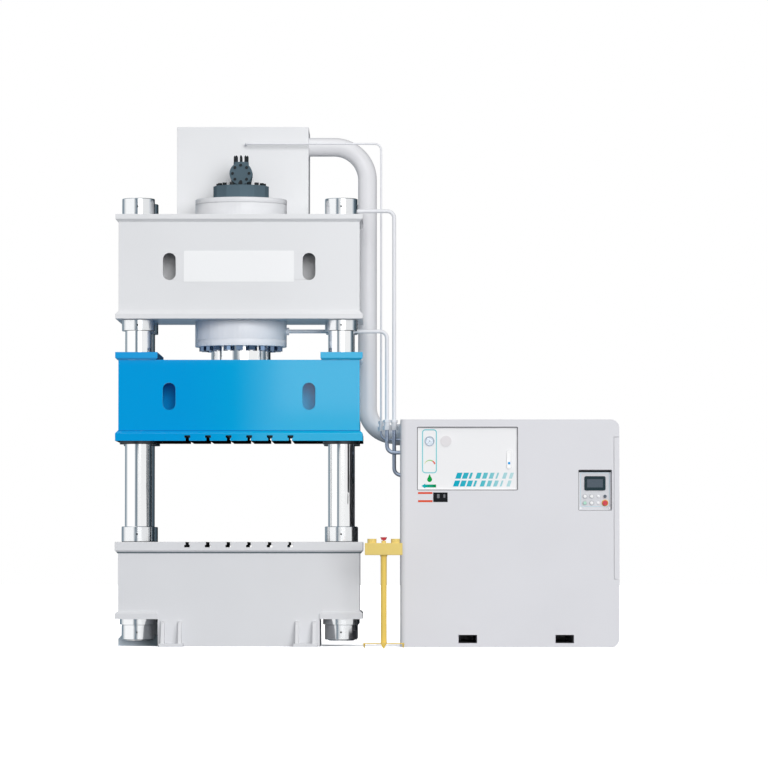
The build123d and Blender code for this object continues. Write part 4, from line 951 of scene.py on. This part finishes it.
# %% Level gauge
level_low, level_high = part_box("level_gauge")
level_x = (level_low.x + level_high.x) / 2
float_finish = vinyl("float_finish", colour(0, 164, 232))
FLOAT_Z = 1.597
float_rings = ((0.0105, PANEL_Y - 0.006), (0.0105, PANEL_Y - 0.0112), (0.0095, PANEL_Y - 0.0117),
               (0.001, PANEL_Y - 0.0119))
grid_mesh("level_float", turned_part(level_x, FLOAT_Z, float_rings), float_finish,
          "press_frame")
# Painted shade: a grey line round the level tube for the shadow at its edge.
rim_painted_shade = vinyl("rim_painted_shade", colour(212, 213, 216))
rim = rounded_box(level_low.x, level_high.x, level_low.z, level_high.z, 0.0214)
line_piece("level_edge_shade", rim, 0.004, PANEL_Y - 0.002, PANEL_Y, rim_painted_shade)
print("float at", round(level_x, 3))

# %% [markdown]
# ## Plates under the display and lines round the recesses
#
# Two small plates sit under the display. Both are bare: one is pale between two orange bands,
# the other black with two dull grey patches. A thin rubber seal runs round each recess.

# %% Plates and seals
FRONT_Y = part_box("cabinet_front")[0].y


def on_front(name, x0, x1, z0, z1, finish, thickness=0.001, radius=0.003, base=0.0):
    """A flat plate on the cabinet's front sheet."""
    outline = rounded_box(x0, x1, z0, z1, radius, 4)
    return flat_piece(name, outline, FRONT_Y - base - thickness, FRONT_Y - base, finish)


pale_plate = vinyl("pale_plate", colour(228, 228, 232))
orange_band = vinyl("orange_band", colour(226, 78, 40))
black_plate = vinyl("black_plate", colour(14, 18, 22))
grey_patch = vinyl("grey_patch", colour(120, 122, 126))
on_front("plain_plate", 1.563, 1.689, 1.258, 1.345, pale_plate)
on_front("plain_plate_band_high", 1.563, 1.689, 1.329, 1.345, orange_band, 0.0006, 0.002, 0.001)
on_front("plain_plate_band_low", 1.563, 1.689, 1.258, 1.275, orange_band, 0.0006, 0.002, 0.001)
on_front("black_plate", 1.695, 1.820, 1.259, 1.342, black_plate, 0.003)
on_front("black_plate_patch_left", 1.728, 1.750, 1.292, 1.328, grey_patch, 0.0008, 0.004, 0.003)
on_front("black_plate_patch_right", 1.783, 1.800, 1.296, 1.326, grey_patch, 0.0008, 0.004, 0.003)

seal_finish = moulded("seal_finish", colour(96, 94, 98), 0.6)
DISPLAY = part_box("display_panel")
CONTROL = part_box("control_box")
LIP = 0.003
SEALS = (("display_seal", DISPLAY, 0.006), ("control_seal", CONTROL, 0.003))
for name, (low, high), width in SEALS:
    edge = rounded_box(low.x + LIP, high.x - LIP, low.z + LIP, high.z - LIP, 0.008)
    line_piece(name, edge, width, FRONT_Y - 0.0012, FRONT_Y + 0.0005, seal_finish)
print("plates and seals ready")

# %% [markdown]
# ## The control face
#
# A pale blue line frames the screen and the keys, and two white screws hold the plate. Above the
# plate a dark film is painted shade, for the shadow under the top of the recess.

# %% Control face
CONTROL_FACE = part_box("indicator_lamps")[1].y
pale_cyan = vinyl("pale_cyan", colour(190, 222, 232))
face_line = rounded_box(2.976, 3.224, 1.222, 1.512, 0.012)
line_piece("control_outline", face_line, 0.004, CONTROL_FACE - 0.0005, CONTROL_FACE, pale_cyan)
# Painted shade: a dark film for the shadow under the top of the recess.
top_painted_shade = vinyl("top_painted_shade", colour(26, 36, 40))
shade_outline = rounded_box(2.960, 3.240, 1.518, 1.535, 0.002, 3)
flat_piece("control_painted_shade", shade_outline, CONTROL_FACE - 0.0006, CONTROL_FACE, top_painted_shade)
SCREW_Z = 1.204
screw_rings = ((0.009, CONTROL_FACE), (0.009, CONTROL_FACE - 0.003),
               (0.007, CONTROL_FACE - 0.0045), (0.0012, CONTROL_FACE - 0.005))
for side, x in (("left", 2.973), ("right", 3.227)):
    grid_mesh("face_screw_" + side, turned_part(x, SCREW_Z, screw_rings), key_white,
              "press_frame")
screen_low, screen_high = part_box("control_screen")
glass_x = (screen_low.x + screen_high.x) / 2
glass_z = (screen_low.z + screen_high.z) / 2
GLASS_HALF_WIDTH = 0.069
GLASS_HALF_HEIGHT = 0.036
lcd = vinyl("lcd", colour(86, 97, 107), 0.2)
lcd_outline = rounded_box(glass_x - GLASS_HALF_WIDTH, glass_x + GLASS_HALF_WIDTH,
                          glass_z - GLASS_HALF_HEIGHT, glass_z + GLASS_HALF_HEIGHT, 0.002, 3)
flat_piece("screen_lcd", lcd_outline, screen_low.y + 0.0024, screen_low.y + 0.003, lcd)
print("control face at", round(CONTROL_FACE, 4))

# %% [markdown]
# ## The studio
#
# Polished metal shows the room more than itself, so the room matters. Around the machine there
# is a white cove that is dim and bluish far to the left, far to the right and behind the machine,
# and darker towards the ground. A wide window lights the right half of the slide, and the wall
# left of the camera is a little brighter than the rest. Matt surfaces don't see the pattern: they
# get an even white light.
#
# The pattern is a sum over two angles in degrees. The azimuth is 0 straight in front of the machine
# and grows to the right, and the elevation is 0 at the horizon. Each rise or fall says where one
# edge of a bright or dim part starts and where it ends.

# %% The room
world = bpy.data.worlds.new("studio")
world.use_nodes = True
bpy.context.scene.world = world
room = world.node_tree
room.nodes.clear()
start = Value(room, None)
camera_ray = start.node("LightPath", out="Is Camera Ray")
glossy_ray = start.node("LightPath", out="Is Glossy Ray")
seen_through = start.node("LightPath", out="Is Transmission Ray")
east, north, up = start.node("TexCoord", out="Generated").parts()
azimuth = east.maths("ARCTAN2", east, north * -1.0) * (180 / np.pi)
elevation = up.maths("ARCSINE", up) * (180 / np.pi)


def between(value, low, high, soft):
    """1 from low to high and 0 outside, with soft edges."""
    return value.rise(low, low + soft) * value.fall(high - soft, high)


def to_output(value, kind):
    """Links a shader to a new output node of this kind."""
    output = value.tree.nodes.new("ShaderNode" + kind)
    value.tree.links.new(value.socket, output.inputs["Surface"])


MATT_LIGHT = 0.55
WINDOW_GAIN = 1.2
WALL_GAIN = 0.2
WHITE = (1, 1, 1, 1)
GAP_TINT = (0.5, 0.78, 1.0, 1)

right_gap = azimuth.rise(80, 112) * 0.84 + azimuth.rise(118, 150) * 0.13
left_gap = azimuth.fall(-128, -104) * 0.6
window = azimuth.rise(-1.46, -1.36) * azimuth.fall(28, 32) * elevation.rise(1.75, 1.85)
wall = between(azimuth, -100.0, -12.0, 6.0)
ground = elevation.fall(-50, -8) * 0.6
pattern = (1.0 - left_gap - right_gap + window * WINDOW_GAIN + wall * WALL_GAIN) * (1 - ground)
strength = glossy_ray * pattern + (1 - glossy_ray) * MATT_LIGHT
clear = camera_ray.most(seen_through)
strength = clear + (1 - clear) * strength
in_gap = left_gap.most(right_gap) * glossy_ray
tint = start.node("Mix", {"data_type": "RGBA"}, {0: in_gap, 6: WHITE, 7: GAP_TINT}, out=2)
to_output(start.node("Background", inputs={"Color": tint, "Strength": strength}), "OutputWorld")
print("room ready")

# %% [markdown]
# A dark screen stands six metres in front of the press, to its left. Only glossy rays see it, and
# it puts the grey stripe on each column. Because the screen is near, the stripe lies further left
# on a column that stands further right. Its cloth is thin at both edges, so the stripe is soft.
# A darker block beside it, only as high as the slide, keeps the slide's left half deep blue.

# %% The screen
SCREEN_Y = -6.36
SCREEN_SPAN = (-8.0, 0.2)
SCREEN_HEIGHT = (-1.0, 8.0)


def empty_material(name):
    """A material without nodes, and the start of its sums."""
    material = bpy.data.materials.new(name)
    material.use_nodes = True
    material.node_tree.nodes.clear()
    return material, Value(material.node_tree, None)


def flat_sheet(name, corners, material):
    """One rectangle of the studio."""
    mesh = bpy.data.meshes.new(name)
    mesh.from_pydata(corners, [], [(0, 1, 2, 3)])
    mesh.materials.append(material)
    sheet = bpy.data.objects.new(name, mesh)
    bpy.context.scene.collection.objects.link(sheet)
    return sheet


screen_cloth, first = empty_material("screen_cloth")
screen_x, _, screen_z = first.node("TexCoord", out="Object").parts()
stripe = screen_x.rise(-4.4, -2.6) * screen_x.fall(-2.0, -0.1) * 0.82
block = between(screen_x, -2.2, 0.19, 0.48) * between(screen_z, 1.84, 2.8, 0.08) * 0.97
opacity = stripe.most(block)
black = first.node("Emission", inputs={"Color": (0.02, 0.09, 0.15, 1), "Strength": 1.0})
clear_air = first.node("BsdfTransparent")
mixed = first.node("MixShader", inputs={0: opacity, 1: clear_air, 2: black})
to_output(mixed, "OutputMaterial")
left, right = SCREEN_SPAN
bottom, top = SCREEN_HEIGHT
screen_corners = [(left, SCREEN_Y, bottom), (right, SCREEN_Y, bottom), (right, SCREEN_Y, top),
                  (left, SCREEN_Y, top)]
screen = flat_sheet("dark_screen", screen_corners, screen_cloth)
screen.visible_camera = False
screen.visible_diffuse = False
screen.visible_transmission = False
screen.visible_shadow = False
print("screen at", SCREEN_Y)

# %% [markdown]
# In the photograph the ram, the columns and the valve don't mirror the slide, the cabinet, the
# pedestal or the tank. These are therefore left out of mirror images, as if paper hung in front
# of them.

# %% Left out of mirror images
UNMIRRORED = ("prefill_tank", "slide_frame", "slide_platen", "guide_bushes", "bush_retainers",
              "cabinet_cover", "cabinet_front", "pedestal_stand", "pedestal_box", "palm_guards")
for name in UNMIRRORED:
    NODES[name].visible_glossy = False
print(len(UNMIRRORED), "solids are left out of mirror images")

# %% [markdown]
# A very soft lamp stands a little to the right of the camera and above it. It lights the fronts
# evenly and leaves each recess its shade. The floor is white paper for the camera, but it gives
# back only a fifth of the light, so undersides stay dark, as they do in the photograph.

# %% Lamp and floor
LAMP_ENERGY = 2.25
LAMP_SPREAD = 32
LAMP_SIDE = (0.21, -0.95, 0.14)
PAPER_SEEN = (3.0, 3.0, 3.0, 1)
PAPER_LIT = (0.18, 0.2, 0.235, 1)
HALF = 90.0

lamp = bpy.data.lights.new("key", "SUN")
lamp.energy = LAMP_ENERGY
lamp.angle = np.radians(LAMP_SPREAD)
key = bpy.data.objects.new("key", lamp)
key.rotation_euler = Vector(LAMP_SIDE).to_track_quat("Z", "Y").to_euler()
key.visible_glossy = False
bpy.context.scene.collection.objects.link(key)

paper, begin = empty_material("paper")
direct = begin.node("LightPath", out="Is Camera Ray")
tone = begin.node("Mix", {"data_type": "RGBA"}, {0: direct, 6: PAPER_LIT, 7: PAPER_SEEN}, out=2)
to_output(begin.node("BsdfDiffuse", inputs={"Color": tone}), "OutputMaterial")
corners = [(-HALF, -HALF, 0), (HALF, -HALF, 0), (HALF, HALF, 0), (-HALF, HALF, 0)]
floor = flat_sheet("floor", corners, paper)
floor.visible_glossy = False
bpy.context.scene.view_settings.view_transform = "Standard"
print("lamp and floor ready")

# %% [markdown]
# The visual model must stay inside the CAD model's box.
